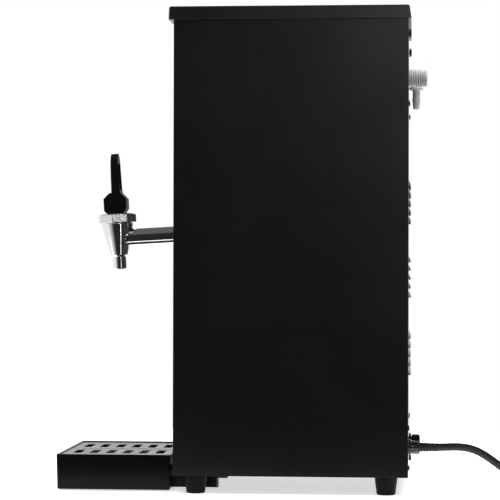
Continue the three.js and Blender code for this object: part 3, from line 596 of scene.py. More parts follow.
def made(name, bm, material, body="cabinet", stands_for=(), smooth=35):
    """Turns a shape into a finished piece: into metres, shaded, painted, riding on a body."""
    bm.transform(TO_ROW)
    mesh = bpy.data.meshes.new(name)
    bm.to_mesh(mesh)
    bm.free()
    mesh.shade_smooth()
    mesh.set_sharp_from_angle(angle=math.radians(smooth))
    mesh.materials.append(finishes[material])
    piece = placed(name, mesh)
    flatten = piece.modifiers.new("flat faces stay flat", "WEIGHTED_NORMAL")
    flatten.keep_sharp = True
    flatten.weight = 100
    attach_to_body(piece, body)
    if stands_for:
        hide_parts(*([stands_for] if isinstance(stands_for, str) else stands_for))
    return piece


def refined(node, material, edge, segments=3):
    """A CAD node's own shape with merged faces and rounded edges, standing for the node."""
    bm = bmesh.new()
    bm.from_mesh(frame["nodes"][node].data)
    bmesh.ops.remove_doubles(bm, verts=bm.verts, dist=1e-6)
    bm.transform(TO_ROW.inverted())
    bevelled(bm, edge, segments)
    body = frame["nodes"][node]["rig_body"]
    return made(f"{node}_shell", bm, material, body, node)


# ---------------------------------------------------------------- mains lead

CORD = 8.0
COIL = (-42, 276)
COIL_LOW = 0.9 + CORD / 2
COIL_HIGH = COIL_LOW + CORD * math.sin(math.pi / 3)
TAIL_CENTRE, TAIL_RADIUS = (-42, 264), 36
PLUG_HEIGHT = 26.53

EXIT_X = 10
LEAD_ROUTE = [(EXIT_X, y, z) for y, z in [
    (146.5, 41), (156, 41.3), (164, 41.6), (172, 41.4), (180, 40.2), (188, 37.6), (196, 33.4), (204, 28.0),
    (212, 22.2), (220, 16.8), (228, 12.2), (236, 8.7), (245.4, 6.2), (256, 5.1), (266, COIL_LOW),
]]


def step(t):
    """A smooth rise from 0 to 1."""
    t = min(1.0, max(0.0, t))
    return t * t * (3 - 2 * t)


def coil_points():
    """Three turns inward on the floor and nearly two outward on top of them, in the grooves between."""
    radii = [52, 44, 36, 40, 48]
    turns, per_turn = 4.75, 48
    crossing = 0.2                    # the share of a turn that moves over to the next radius
    climb_start, climb = 2.72, 0.24   # in turns
    points = []
    for i in range(int(turns * per_turn) + 1):
        turns_made, share = divmod(i / per_turn, 1)
        here = int(turns_made)
        following = radii[min(here + 1, len(radii) - 1)]
        radius = radii[here] + (following - radii[here]) * step((share - (1 - crossing)) / crossing)
        lift = step((i / per_turn - climb_start) / climb)
        angle = 2 * math.pi * share
        points.append((
            COIL[0] + radius * math.cos(angle),
            COIL[1] + radius * math.sin(angle),
            COIL_LOW + (COIL_HIGH - COIL_LOW) * lift,
        ))
    return points


def tail_points():
    """An arc that climbs over the inner top turn and comes back to the plug, which lies on the coil."""
    heights = [(-90, COIL_HIGH), (-70, 15.2), (-45, 18.3), (-20, 19.9), (8, 20.53)]
    start, last_climb, end, every = -82, 8, 90, 4
    points = []
    for degrees in range(start, end + 1, every):
        if degrees >= last_climb:
            low = heights[-1][1]
            z = low + (PLUG_HEIGHT - low) * step((degrees - last_climb) / (end - last_climb))
        else:
            k = max(i for i in range(len(heights) - 1) if heights[i][0] <= degrees)
            (d0, z0), (d1, z1) = heights[k], heights[k + 1]
            z = z0 + (z1 - z0) * (degrees - d0) / (d1 - d0)
        angle = math.radians(degrees)
        points.append((
            TAIL_CENTRE[0] + TAIL_RADIUS * math.cos(angle),
            TAIL_CENTRE[1] + TAIL_RADIUS * math.sin(angle),
            z,
        ))
    return points


def make_lead():
    path = smooth_path(LEAD_ROUTE, 4) + [Vector(p) for p in coil_points() + tail_points()]
    path.append(path[-1] + Vector((-3, 0, 0)))
    cord = made("mains_lead", swept(path, CORD / 2, 20), "cord_jacket", "cabinet",
                ["power_cord", "cord_coil", "cord_tail"])
    relief = make_strain_relief()
    plug = make_plug()
    tie = make_tie()


def make_strain_relief():
    """A sleeve that thins outwards, with grooves that let it bend."""
    low, high = span("cord_relief")
    x, z = (low.x + high.x) / 2, (low.z + high.z) / 2
    length = high.y - low.y
    thick, thin, groove, ribs = 4.9, 4.3, 0.45, 6
    profile = [(0, 0), (thick, 0)]
    for i in range(ribs):
        start = 1.2 + i * (length - 2) / ribs
        radius = thick - (thick - thin) * i / ribs
        profile += [(radius, start), (radius - groove, start + 0.3)]
        profile += [(radius - groove, start + 1.1), (radius, start + 1.4)]
    profile += [(thin, length), (0, length)]
    bm = along_y(lathed(profile, 0.25, 2, 40), x, low.y, z)
    return made("strain_relief", bm, "cord_jacket", "cabinet", "cord_relief")


def make_plug():
    """A flat three-pin plug on its back, with ribbed grips and its sleeve."""
    low, high = span("mains_plug")
    y = (low.y + high.y) / 2
    thickness, half, nose, taper, sleeve_length = 20, 25, 13.75, 10, 20
    bottom, top = low.z, low.z + thickness
    near, far = high.x - sleeve_length, low.x
    outline = [
        (near, y - nose), (near, y + nose), (near - taper, y + half),
        (far, y + half), (far, y - half), (near - taper, y - half),
    ]
    body = bevelled(prism(round_corners(outline, [2, 2, 5, 7, 7, 5], 5), bottom, top), 2.2, 4)
    grips = []
    for side in (-1, 1):
        for i in range(6):
            x, edge = near - 14 - 3.4 * i, y + side * half
            rib = box((x - 0.8, edge - 0.5, bottom + 4), (x + 0.8, edge + 0.5, top - 4))
            grips.append(bevelled(rib, 0.35, 2))
    sleeve = lathed([(0, 0), (4.4, 0), (6.2, 22), (0, 22)], 0.8, 3, 40)
    turn(sleeve, "Y", -90, (high.x, y, bottom + thickness / 2))
    plug = made("plug_body", merged(body, sleeve, *grips), "black_plastic", "cabinet", "mains_plug")
    middle = near - 15
    pins = [
        ((middle - 2, y - 14.15), (middle + 2, y - 7.85), 17.7),
        ((middle - 2, y + 7.85), (middle + 2, y + 14.15), 17.7),
        ((middle - 25.5, y - 2), (middle - 17.5, y + 2), 22.7),
    ]
    blades = [bevelled(box((*a, top - 1), (*b, top + rise)), 0.7, 3) for a, b, rise in pins]
    return [plug, made("plug_pins", merged(*blades), "brass", "cabinet")]


def make_tie():
    """A flat releasable tie round the coil's turns."""
    angle = math.radians(200)
    out = Vector((math.cos(angle), math.sin(angle), 0))
    across = Vector((-out.y, out.x, 0))
    half_width, thickness = 4, 0.55
    section = [(30.6, 0.35), (57.2, 0.35), (57.2, 9.5), (52.8, 17.0), (35.2, 17.0), (30.6, 9.5)]
    loop = [Vector(p) for p in round_corners(section, 2.2, 5)]
    middle = sum(loop, Vector((0, 0))) / len(loop)
    centre = Vector((COIL[0], COIL[1], 0))
    rings = []
    for inward, side in ((0, -1), (0, 1), (thickness, 1), (thickness, -1)):
        moved = [p + (middle - p).normalized() * inward for p in loop]
        rings.append([centre + out * q.x + across * (side * half_width) + Vector((0, 0, q.y)) for q in moved])
    return made("coil_tie", skin(rings, loop=True), "black_rubber", "cabinet")


# ---------------------------------------------------------------- cabinet


LID_BOTTOM = 475.0


def make_lid():
    """A pressed cap: drafted sides with a rolled top edge, and a rim that overhangs the panels."""
    low, high = span("lid")
    crown, side_draft, rear_draft, corner, roll_radius = 0.8, 0.5, 1.9, 2.2, 1.9
    top = high.z - crown

    def rim(inset, z):
        rise = (z - LID_BOTTOM) / (top - LID_BOTTOM)
        a = high.x - side_draft * rise - inset
        front = low.y + side_draft * rise + inset
        rear = high.y - rear_draft * rise - inset
        outline = round_corners(rectangle(-a, front, a, rear), max(0.4, corner - 0.6 * inset), 6)
        return [(p, q, z) for p, q in outline]

    def underside(inset, height):
        return rim(inset, LID_BOTTOM + height)

    roll = [rim(roll_radius * (1 - math.sin(a)), top - roll_radius * (1 - math.cos(a)))
            for a in [math.radians(d) for d in range(90, -1, -15)]]
    rings = [underside(*place) for place in ((10, 11), (10, 0.6), (9.6, 0), (0.35, 0), (0, 0.35), (0, 6))]
    rings += roll
    rings += [rim(inset, top + rise) for inset, rise in ((12, 0.35), (34, 0.66), (70, crown), (100, crown))]
    return made("lid_cap", skin(rings), "lid_black", "cabinet", "lid")


INLET_AT, OVERFLOW_AT, DRAIN_AT, GLAND_AT = (45, 420.3), (-35, 425.5), (-35, 40.4), (EXIT_X, 41)
SCREW_X = 92
SCREW_HOLES = (460.7, 390.7, 27)
SPARE_SCREWS = 66.6
LOUVRE_BANKS, LOUVRES, LOUVRE_PITCH = (316, 239, 160.5), 5, 9.1
SHEET = 1.5


def make_rear_panel():
    """The sheet with its holes and slots, and the pressed hoods over the slots."""
    low, high = span("rear_panel")
    outline = round_corners(rectangle(-high.x, low.z, high.x, high.z), 1.5, 3)
    round_holes = [(*INLET_AT, 9.2), (*OVERFLOW_AT, 6.3), (*DRAIN_AT, 8.3), (*GLAND_AT, 6.5)]
    round_holes += [(x, z, 2.4) for x in (-SCREW_X, SCREW_X) for z in SCREW_HOLES]
    holes = [circle(radius, 32, x, z) for x, z, radius in round_holes]
    tops = [bank - LOUVRE_PITCH * i for bank in LOUVRE_BANKS for i in range(LOUVRES)]
    holes += [round_corners(rectangle(-60, t - 5.6, 60, t - 2), 1.2, 3) for t in tops]
    sheet = turn(plate(outline, holes, SHEET, 0.2), "X", 90, (0, HALF_Y - SHEET / 2, 0))
    hoods = [louvre_hood(t) for t in tops]
    return made("rear_panel_pressing", merged(sheet, *hoods), "black_paint", "cabinet", "rear_panel")


def louvre_hood(top, width=124.0, rise=6.2, depth=2.4, metal=1.0):
    """A pressed hood: flush along its top, open underneath, and faired into the sheet at its ends."""
    columns, rows, fairing, lip = 36, 7, 7, 0.4
    outer, inner = [], []
    for i in range(columns + 1):
        x = -width / 2 + width * i / columns
        end = min(x + width / 2, width / 2 - x)
        bulge = math.sin(math.pi / 2 * min(1.0, end / fairing)) ** 0.8
        outer_row, inner_row = [], []
        for k in range(rows + 1):
            v = k / rows
            out = depth * bulge * math.sin(math.pi / 2 * v)
            z = top - (rise - lip) * v - lip * v * v
            outer_row.append((x, HALF_Y + out, z))
            inner_row.append((x, HALF_Y + out - metal, z + 0.15))
        outer.append(outer_row)
        inner.append(inner_row)
    return skin([a + b[::-1] for a, b in zip(outer, inner)])


FOOT_PLACES = ("front_left", "front_right", "rear_left", "rear_right")


def make_feet():
    """Four tapered rubber feet with a stepped sole, bored for their screws."""
    for place in FOOT_PLACES:
        low, high = span(f"foot_{place}")
        x, y, top = (low.x + high.x) / 2, (low.y + high.y) / 2, high.z
        profile = [
            (2.7, 7), (6, 7), (6, 0.1), (8.4, 0), (9.5, 0.9), (9.75, 3.2), (9.6, 3.5), (9.75, 3.8),
            (11.3, top - 2), (11.3, top), (2.7, top),
        ]
        radii = [0.3, 0.8, 0.6, 1.0, 0.8, 0.2, 0.2, 0.2, 0.5, 0.5, 0.3]
        bm = lathed(profile, radii, 3, 64, loop=True)
        bm.transform(Matrix.Translation((x, y, 0)))
        made(f"foot_{place}_rubber", bm, "black_rubber", "cabinet", f"foot_{place}")


def pan_head(radius, height, shank, length):
    """A pan-head screw with a cross recess, its axis along +Y and the underside of its head at 0."""
    profile = [(0, -length), (shank * 0.5, -length), (shank, -length + shank), (shank, 0), (radius, 0)]
    profile += [(radius, height * 0.38), (radius * 0.72, height * 0.92), (0, height)]
    head = lathed(profile, [0, 0, 0, 0.1, 0.3, 0.9, 2.5, 0], 4, 48)
    arm, slim, deep, narrowing = radius * 0.56, radius * 0.13, height * 0.6, 0.7
    tools = []
    for a, b in ((arm, slim), (slim, arm)):
        c, d = a * narrowing, b * narrowing
        ring_low = [(x, y, height - deep) for x, y in rectangle(-c, -d, c, d)]
        ring_high = [(x, y, height + 0.5) for x, y in rectangle(-a, -b, a, b)]
        tools.append(skin([ring_low, ring_high]))
    return along_y(combined(head, "DIFFERENCE", *tools))


# Each kind of rear screw: head radius, head height, shank radius, length.
SCREW_SIZES = {
    "lid_screw": (4.7, 2.8, 2.0, 9),
    "rear_screw": (3.2, 1.4, 1.5, 7),
    "spare": (3.0, 1.3, 1.4, 1.3),
}


def make_rear_screws():
    """The screws that have CAD nodes, and two more small ones low on the panel."""
    spares = [(x, SPARE_SCREWS, None) for x in (-SCREW_X, SCREW_X)]
    sites = {"lid_screw": [], "rear_screw": [], "spare": spares}
    for kind, count in (("lid_screw", 2), ("rear_screw", 4)):
        for i in range(1, count + 1):
            low, high = span(f"{kind}_{i}")
            sites[kind].append(((low.x + high.x) / 2, (low.z + high.z) / 2, f"{kind}_{i}"))
    for kind, places in sites.items():
        for index, (x, z, node) in enumerate(places, 1):
            bm = pan_head(*SCREW_SIZES[kind])
            face = HALF_Y + (0.3 if node else 0.05)
            bm.transform(Matrix.Translation((x, face, z)) @ Matrix.Rotation(0.7 * index + x, 4, "Y"))
            name = f"{node}_head" if node else f"corner_screw_{index}"
            made(name, bm, "zinc_black", "cabinet", node or ())


def make_cabinet():
    for node in ("side_panel_right", "side_panel_left"):
        refined(node, "black_paint", 0.7, 4)
    refined("front_panel", "black_paint", 0.3, 2)
    refined("base_plate", "zinc_black", 0.4, 2)
    make_lid()
    make_rear_panel()
    make_feet()
    make_rear_screws()


# ---------------------------------------------------------------- control panel


def make_controls():
    """The fascia on the front with its power button and status window."""
    low, high = span("control_panel")
    z = (low.z + high.z) / 2
    x = high.x
    thickness, button_hole = 3, 8
    window = round_corners(rectangle(20, z - 3, 32, z + 3), 1.2, 4)
    outline = round_corners(rectangle(-x, low.z, x, high.z), 6, 10)
    sheet = plate(outline, [circle(button_hole, 64, 0, z), window], thickness, 0.7)
    turn(sheet, "X", 90, (0, low.y + thickness / 2, 0))
    made("control_fascia", sheet, "gloss_black", "cabinet", "control_panel")
    bezel = lathed([(7.25, -6), (7.85, -6), (7.85, 3.15), (7.25, 3.15)], 0.25, 3, 72, loop=True)
    made("button_bezel", turn(bezel, "X", 90, (0, low.y + thickness, z)), "chrome", "cabinet")
    front, back = span("power_button")
    depth = back.y - front.y
    profile = [(0, 0), (7.0, 0), (7.0, depth - 1.0), (6.2, depth), (4.6, depth - 0.35), (0, depth - 0.55)]
    cap = lathed(profile, [0, 0.2, 0.6, 0.5, 2.0, 0], 4, 72)
    made("power_button_cap", turn(cap, "X", 90, (0, back.y, z)), "black_plastic", "button", "power_button")
    refined("status_lens", "status_lens", 0.5, 3)


# ---------------------------------------------------------------- tap

TAP_TILT = math.radians(3.3)
TAP_REACH = 70.1
TAP_HEIGHT = 261.45
COLLAR_RADIUS = 20.5
COLLAR_TURN = -7


def tap_frame():
    """From the tap's own frame, where its axis is Z, to the machine's."""
    root = Matrix.Translation((0, -HALF_Y, TAP_HEIGHT)) @ Matrix.Rotation(TAP_TILT, 4, "X")
    return root @ Matrix.Translation((0, -TAP_REACH, 0))


def tap_piece(name, bm, material, body, node, smooth=35):
    bm.transform(tap_frame())
    return made(name, bm, material, body, node, smooth)


SPOUT_TOP, SPOUT_TOP_RADIUS = -17.9, 9.05
SHOULDER, SHOULDER_RADIUS = 15, 17
SHANK_RADIUS = 9.2


def cone_radius(z):
    """The tap body's outer radius between its spout and its shoulder."""
    share = (z - SPOUT_TOP) / (SHOULDER - SPOUT_TOP)
    return SPOUT_TOP_RADIUS + (SHOULDER_RADIUS - SPOUT_TOP_RADIUS) * share


def make_tap_body():
    """The turned body with its spout and shank, bored for water, and a cast fillet round the shank."""
    outside = [
        (0, -32.6), (6.6, -32.6), (7.15, -32), (7.15, -19.6), (SPOUT_TOP_RADIUS, SPOUT_TOP),
        (SHOULDER_RADIUS, SHOULDER), (15.2, 15.5), (15.2, 21), (0, 21),
    ]
    outer = lathed(outside, [0, 0.3, 0.4, 0.6, 0.5, 0.7, 0.1, 0.2, 0], 4, 128)
    inside = [(0, -40), (5, -40), (5, -14), (7.6, -13.5), (12.2, 4), (12.2, 30), (0, 30)]
    rod = [(0, 0), (SHANK_RADIUS, 0), (SHANK_RADIUS, 92.1), (0, 92.1)]
    shank = along_y(lathed(rod, 0.6, 3, 96))
    bore = along_y(turned([(0, 0), (5, 0), (5, 120), (0, 120)], 48))
    body = combined(combined(outer, "UNION", shank), "DIFFERENCE", turned(inside, 96), bore)
    tap_piece("tap_casting", body, "chrome", "cabinet", "tap_body")
    clear = 0.05
    fillet = []
    for z, x in circle(SHANK_RADIUS + clear, 96):
        fillet.append((x, math.sqrt(cone_radius(z) ** 2 - x * x) + 0.15, z))
    tap_piece("tap_fillet", closed_bead(fillet, 0.75), "chrome", "cabinet", ())


def closed_bead(path, radius, sides=10):
    """A thin closed ring of round section along a loop of points."""
    points = [Vector(p) for p in path]
    count = len(points)
    rings = []
    for i, here in enumerate(points):
        ahead = (points[(i + 1) % count] - points[i - 1]).normalized()
        side = Vector((0, 1, 0))
        side = (side - ahead * side.dot(ahead)).normalized()
        other = ahead.cross(side)
        rings.append([here + (side * a + other * b) * radius for a, b in circle(1, sides)])
    return skin(rings, loop=True)


def make_tap_collar():
    """An eight-sided nut with chamfered rims, and the washer behind the shank."""
    low, high, shelf, wide, narrow = 16, 25.3, 23.6, 15.6, 9.6
    corners = [(COLLAR_RADIUS * math.cos(t), COLLAR_RADIUS * math.sin(t))
               for t in [math.radians(COLLAR_TURN + 45 * i) for i in range(8)]]
    nut = bevelled(prism(corners, low, high), 0.55, 3, 30)
    rim_cut = turned([(19.3, 24.2), (24, 24.2), (24, 30), (18.1, 30), (18.1, 25.4)], 96, loop=True)
    bore = [(0, 25.9), (0, 10), (wide, 10), (wide, shelf), (narrow, shelf), (narrow, 25.9)]
    collar = combined(nut, "DIFFERENCE", turned(bore, 96), rim_cut)
    tap_piece("tap_collar_nut", collar, "satin_chrome", "cabinet", "tap_collar")
    section = [(9.5, -1.6), (12.6, -1.6), (12.6, 0), (9.5, 0)]
    washer = along_y(lathed(section, 0.5, 4, 96, loop=True), 0, TAP_REACH - 1.4, 0)
    tap_piece("tap_washer_ring", washer, "chrome", "cabinet", "tap_washer")


def make_lever():
    """A broad paddle that thins towards its rounded top, on an eight-sided foot with a slot for the stem."""
    low, half_width, pivot, round_from, end_round = 25.8, 12.0, 36.9, 76.8, 12
    front, rear = -2.95, 5.0
    foot_outline = [
        (-9.3, low), (8.2, low), (11.7, 31), (11.7, 41.2),
        (6, 47.4), (-5.8, 47.4), (-12.1, 41.4), (-12.1, 29),
    ]
    foot = along_x(prism(round_corners(foot_outline, 0.8, 3), -half_width, half_width))
    bevelled(foot, 1.7, 4, 60)
    # Each section of the blade: its height, front and rear face, and half width.
    faces = [(41, -4.3, 6.7), (47.5, -3.7, 6.1), (52, -3.5, 5.5), (65, -3.35, 5.2), (round_from, front, rear)]
    sections = [(*face, half_width) for face in faces]
    for a in [math.radians(d) for d in (15, 30, 42, 52, 61, 69, 76, 82, 87)]:
        rise, across = math.sin(a), math.cos(a) ** 0.72
        height = round_from + end_round * rise
        sections.append((height, front + 0.5 * rise, rear - 0.2 * rise, half_width * across))
    rings = []
    for z, near, far, half in sections:
        outline = round_corners(rectangle(-half, near, half, far), min(2.3, 0.45 * half), 5)
        rings.append([(x, y, z) for x, y in outline])
    whole = combined(foot, "UNION", skin(rings))
    slot = box((-3.4, -10.2, low - 2), (3.4, 4.8, pivot + 5.2))
    hole = turn(turned([(0, -20), (1.8, -20), (1.8, 20), (0, 20)], 32), "Y", 90, (0, 0, pivot))
    recess = turn(prism(round_corners(rectangle(-9.3, 50.5, 9.3, 78), 3, 5), -9, -2.4), "X", 90)
    whole = combined(whole, "DIFFERENCE", slot, hole, recess)
    tap_piece("tap_lever_handle", whole, "lever_plastic", "lever", "tap_lever", 30)
    pin = lathed([(0, -11.4), (1.5, -11.4), (1.5, 11.4), (0, 11.4)], 0.3, 2, 32)
    turn(pin, "Y", 90, (0, 0, pivot))
    tap_piece("lever_pivot_pin", pin, "zinc_black", "lever", "lever_pin")


def make_spring():
    """The coil spring that presses the stem down."""
    turns, per_turn, radius, wire, low, high, lift = 5, 24, 4.6, 0.5, -4.5, 7.0, 3.4
    count = turns * per_turn
    path = []
    for i in range(count + 1):
        angle = 2 * math.pi * i / per_turn
        path.append((radius * math.cos(angle), radius * math.sin(angle), low + (high - low) * i / count))
    body = frame["nodes"]["stem_spring"]["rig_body"]
    spring = tap_piece("stem_coil_spring", swept(path, wire, 12), "stainless", body, "stem_spring")
    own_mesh(spring)


# ---------------------------------------------------------------- drip tray


TRAY_FRONT, TRAY_REAR, TRAY_HALF, TRAY_TOP = -238.6, -122.0, 83.5, 37.0
TRAY_MIDDLE, TRAY_HALF_DEPTH = (TRAY_FRONT + TRAY_REAR) / 2, (TRAY_REAR - TRAY_FRONT) / 2


def make_tray():
    """The moulded tray with draft, a ledge for its grille, a shallow well and pads beneath."""
    draft_at_floor, pad_inset = 1.0, 34

    def ring(inset, z, corner):
        shrink = inset + (1 - z / TRAY_TOP) * draft_at_floor
        x, y = TRAY_HALF - shrink, TRAY_HALF_DEPTH - shrink
        outline = rectangle(-x, TRAY_MIDDLE - y, x, TRAY_MIDDLE + y)
        return [(a, b, z) for a, b in round_corners(outline, corner, 7)]

    top = TRAY_TOP
    outside = [(1.2, 1.4, 0.9), (0.35, 1.65, 1.2), (0, 2.4, 1.4), (0, top - 0.4, 1.4), (0.12, top - 0.1, 1.4)]
    rim = [(0.4, top, 1.3), (2.0, top, 1.0), (2.3, top - 0.12, 1.0), (2.4, top - 0.4, 1.0)]
    ledge = [(2.4, 34.4, 2.5), (2.6, 34.3, 2.4), (4.6, 34.3, 1.6), (4.9, 34.0, 1.5)]
    well = [(4.9, 6.2, 3), (5.6, 4.2, 3), (7.5, 3.3, 3), (40, 3.1, 3)]
    shell = skin([ring(*place) for place in outside + rim + ledge + well])
    pads = []
    for i in (-1, 1):
        for j in (-1, 1):
            pad = lathed([(0, 0), (6, 0), (6, 3), (0, 3)], 0.5, 2, 32)
            x, y = i * (TRAY_HALF - pad_inset), TRAY_MIDDLE + j * (TRAY_HALF_DEPTH - pad_inset)
            pad.transform(Matrix.Translation((x, y, 0)))
            pads.append(pad)
    made("tray_moulding", merged(shell, *pads), "black_plastic", "tray", "drip_tray")


def make_prongs():
    """Two hollow prongs that run back under the cabinet, with grooved ends and a thin lip above each."""
    outer, each, start, rear, low, high, wall = 62.0, 15.0, -123.6, -75.8, 2.6, 15.0, 1.8
    parts = []
    for side in (-1, 1):
        x0, x1 = sorted((side * outer, side * (outer - each)))
        tools = [box((x0 + wall, -120.4, low - 1), (x1 - wall, rear - 4.4, high - 2.4))]
        tools += [box((x0 - 1, rear - 1.4, z - 0.7), (x1 + 1, rear + 1, z + 0.5)) for z in (4.6, 8, 11)]
        block = box((x0, start, low), (x1, rear, high))
        parts.append(bevelled(combined(block, "DIFFERENCE", *tools), 0.35, 2))
        lip = [(rear - 1, 12), (rear + 9.2, 12), (rear + 11.2, 14.4), (rear + 8.2, 13.6), (rear - 1, 13.6)]
        parts.append(bevelled(along_x(prism(lip, x0 + 1.5, x1 - 1.5)), 0.3, 2))
    made("tray_prongs", merged(*parts), "black_plastic", "tray")


def make_grille():
    """The perforated cover: slots in two rows, a drainage groove between them, and two stiffening ribs."""
    low, high = span("drip_grille")
    middle = (low.y + high.y) / 2
    half_x, half_y, top, thick = high.x, (high.y - low.y) / 2, high.z, 1.2
    row_x, pitch, slot_x, slot_y = 35, 17.1, 18, 4.3
    outline = round_corners(rectangle(-half_x, middle - half_y, half_x, middle + half_y), 2.6, 6)
    slots = []
    for row in (-1, 1):
        for i in range(6):
            x, y = row * row_x, middle + (i - 2.5) * pitch
            slots.append(round_corners(rectangle(x - slot_x, y - slot_y, x + slot_x, y + slot_y), 1.3, 5))
    sheet = plate(outline, slots, thick, 0.28)
    sheet.transform(Matrix.Translation((0, 0, top - thick / 2)))
    groove = box((-1.6, middle - 45, top - 0.55), (1.6, middle + 45, top + 1))
    sheet = combined(sheet, "DIFFERENCE", groove)
    ribs = []
    for x in (-22, 20.6):
        ribs.append(bevelled(box((x, middle - 40, top - 4), (x + 1.4, middle + 40, top - 0.7)), 0.3, 2))
    made("grille_plate", merged(sheet, *ribs), "stainless", "grille", "drip_grille")


# ---------------------------------------------------------------- rear fittings


def make_inlet():
    """A translucent spigot with a flange inside the panel and a real helical thread."""
    low, high = span("inlet_spigot")
    x, z = (low.x + high.x) / 2, (low.z + high.z) / 2
    start, end, pitch, root, crest = HALF_Y + 0.4, high.y, 2.3, 8.1, 0.8
    inner = [
        (7, -22), (7, -5.0), (12.2, -5.0), (12.5, -4.6), (12.5, -2.2), (12.2, -1.8), (8.2, -1.8),
    ]
    profile = [(radius, HALF_Y + y) for radius, y in inner] + [(8.2, start)]
    steps = int((end - start) / pitch * 10)
    profile += [(root, start + 0.1 + (end - 0.7 - start) * i / steps) for i in range(steps + 1)]
    profile += [(8.0, end - 0.2), (7.6, end), (5.0, end), (4.6, end - 0.4), (4.6, HALF_Y - 22)]

    def thread(radius, angle, y):
        if radius != root:
            return 0
        phase = (y / pitch - angle / (2 * math.pi)) % 1
        fade = min(1.0, (y - start) / 1.2, (end - 0.5 - y) / 1.2 + 0.25)
        return crest * fade * step((1 - abs(2 * phase - 1)) * 1.3)

    bm = along_y(turned(profile, 72, loop=True, wave=thread), x, 0, z)
    made("inlet_thread", bm, "grey_plastic", "cabinet", "inlet_spigot")


def make_elbow():
    """The overflow elbow: across through the panel, a tight bend, then a collar and a barbed tail."""
    (x, z), y, radius, bend, bend_steps = OVERFLOW_AT, 125.3, 6.0, 3, 8
    path, radii = [(x, HALF_Y - 20, z), (x, HALF_Y - 1, z)], [radius, radius]
    for i in range(bend_steps + 1):
        angle = math.pi / 2 * i / bend_steps
        path.append((x, y - bend + bend * math.sin(angle), z - bend + bend * math.cos(angle)))
        radii.append(radius)
    tail = [
        (420, radius), (418.05, 6.0), (418, 7.1), (417.5, 7.5), (415.5, 7.5), (415.0, 7.1), (414.7, 4.0),
        (406.6, 3.9), (405.8, 4.25), (403.6, 4.35), (402.8, 4.0), (395.4, 3.4), (394.9, 3.2), (394.7, 2.9),
    ]
    path += [(x, y, height) for height, _ in tail]
    radii += [r for _, r in tail]
    inner = [(x, HALF_Y - 30, z), *path[1:11], (x, y, 380)]
    body = combined(swept(path, radii, 40), "DIFFERENCE", swept(inner, 2.4, 24))
    section = [(5.9, 0), (9, 0), (9, 4.2), (5.9, 4.2)]
    flange = along_y(lathed(section, 0.4, 3, 48, loop=True), x, HALF_Y - 6, z)
    made("overflow_spout", merged(body, flange), "grey_plastic", "cabinet", "overflow_elbow")


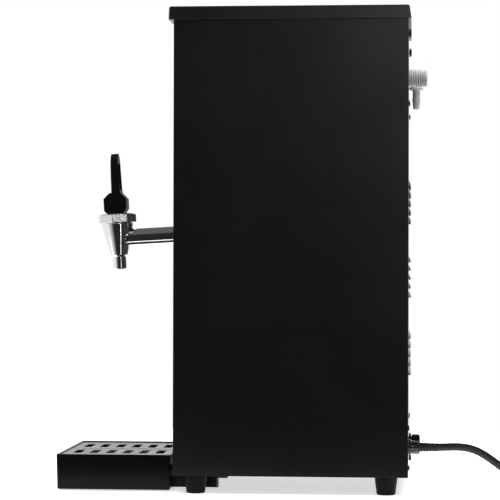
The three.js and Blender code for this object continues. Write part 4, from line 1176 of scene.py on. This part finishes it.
def make_drain():
    """The drain fitting's plate and thread, and its ribbed cap."""
    (x, z), face = DRAIN_AT, HALF_Y + 0.3
    across, up, down, point = 13, 11.6, 11, 16.6
    outline = [
        (x - across, z + up), (x - across, z - down), (x - 9, z - point),
        (x + 9, z - point), (x + across, z - down), (x + across, z + up),
    ]
    thickness = 2.6
    flange = plate(round_corners(outline, 1.6, 4), [circle(8.05, 48, x, z)], thickness, 0.5)
    turn(flange, "X", 90, (0, face + thickness / 2, 0))
    neck = lathed([(4.5, -24), (8, -24), (8, 9), (4.5, 9)], 0.4, 3, 48, loop=True)
    along_y(neck, x, face, z)
    made("drain_neck", merged(flange, neck), "black_plastic", "cabinet", "drain_fitting")
    low, high = span("drain_cap")
    depth, radius, grip_from, ribs = high.y - low.y, 10.25, 9.9, 24
    profile = [
        (0, 6.8), (8.3, 6.8), (8.3, 0), (10.0, 0), (radius, 0.6), (radius, depth - 1.4), (9.4, depth - 0.2),
        (8.2, depth), (6.2, depth - 0.5), (0, depth - 0.5),
    ]

    def grip(r, angle, y):
        if r <= grip_from or not 0.3 < y < depth - 1.2:
            return 0
        fade = step(min(y - 0.3, depth - 1.2 - y) / 0.6)
        return 0.3 * fade * (0.5 + 0.5 * math.cos(ribs * angle)) ** 0.7

    rounded = round_corners(profile, [0, 0.3, 0.3, 0.2, 0.2, 0.8, 0.8, 0.8, 0.4, 0], 3, closed=False)
    dense = []
    for (r0, y0), (r1, y1) in zip(rounded, rounded[1:]):
        parts = max(1, int(abs(y1 - y0) / 0.5)) if min(r0, r1) > grip_from else 1
        dense += [(r0 + (r1 - r0) * i / parts, y0 + (y1 - y0) * i / parts) for i in range(parts)]
    dense.append(rounded[-1])
    cap = along_y(turned(dense, 240, wave=grip), x, low.y, z)
    made("drain_screw_cap", cap, "black_plastic", "drain_cap", "drain_cap")


def make_gland():
    """The nut that clamps the lead where it leaves the panel."""
    low, high = span("cord_gland")
    x, z = (low.x + high.x) / 2, (low.z + high.z) / 2
    depth = high.y - HALF_Y
    profile = [
        (0, -8), (6.2, -8), (6.2, 0.3), (8.2, 0.3), (8.2, 2.4), (6.8, 3.2),
        (6.7, 6.0), (6.1, 6.4), (6.3, 8.8), (5.6, depth), (0, depth),
    ]
    radii = [0, 0.3, 0.1, 0.3, 0.7, 0.6, 0.3, 0.3, 0.9, 0.5, 0]
    gland = along_y(lathed(profile, radii, 4, 64), x, HALF_Y, z)
    made("cord_gland_nut", gland, "gloss_black", "cabinet", "cord_gland")


# ---------------------------------------------------------------- pieces that keep their CAD shape

INNER = {
    "zinc_black": [f"foot_screw_{place}" for place in FOOT_PLACES],
    "circuit_board": ["control_board"],
    "brass": ["tap_nut"],
    "black_plastic": ["tap_bonnet", "thermal_cutout"],
    "stainless": ["tap_stem", "water_tank", "tank_cover", "heating_element", "level_probe",
                  "temperature_probe"],
    "silicone": ["tap_seat", "tank_gasket", "overflow_hose", "drain_hose", "fill_hose"],
    "foam": ["tank_insulation"],
    "white_plastic": ["inlet_valve"],
    "copper": ["valve_coil"],
}


def paint_inner_pieces():
    for material, nodes in INNER.items():
        for node in nodes:
            mesh = frame["nodes"][node].data
            mesh.materials.clear()
            mesh.materials.append(finishes[material])


# ---------------------------------------------------------------- making it all

make_camera()
finishes = {name: surface(name, **look) for name, look in LOOKS.items()}
make_lead()
make_studio()
make_floor()
make_cabinet()
make_controls()
make_tap_body()
make_tap_collar()
make_lever()
make_spring()
make_tray()
make_prongs()
make_grille()
make_inlet()
make_elbow()
make_drain()
make_gland()
paint_inner_pieces()
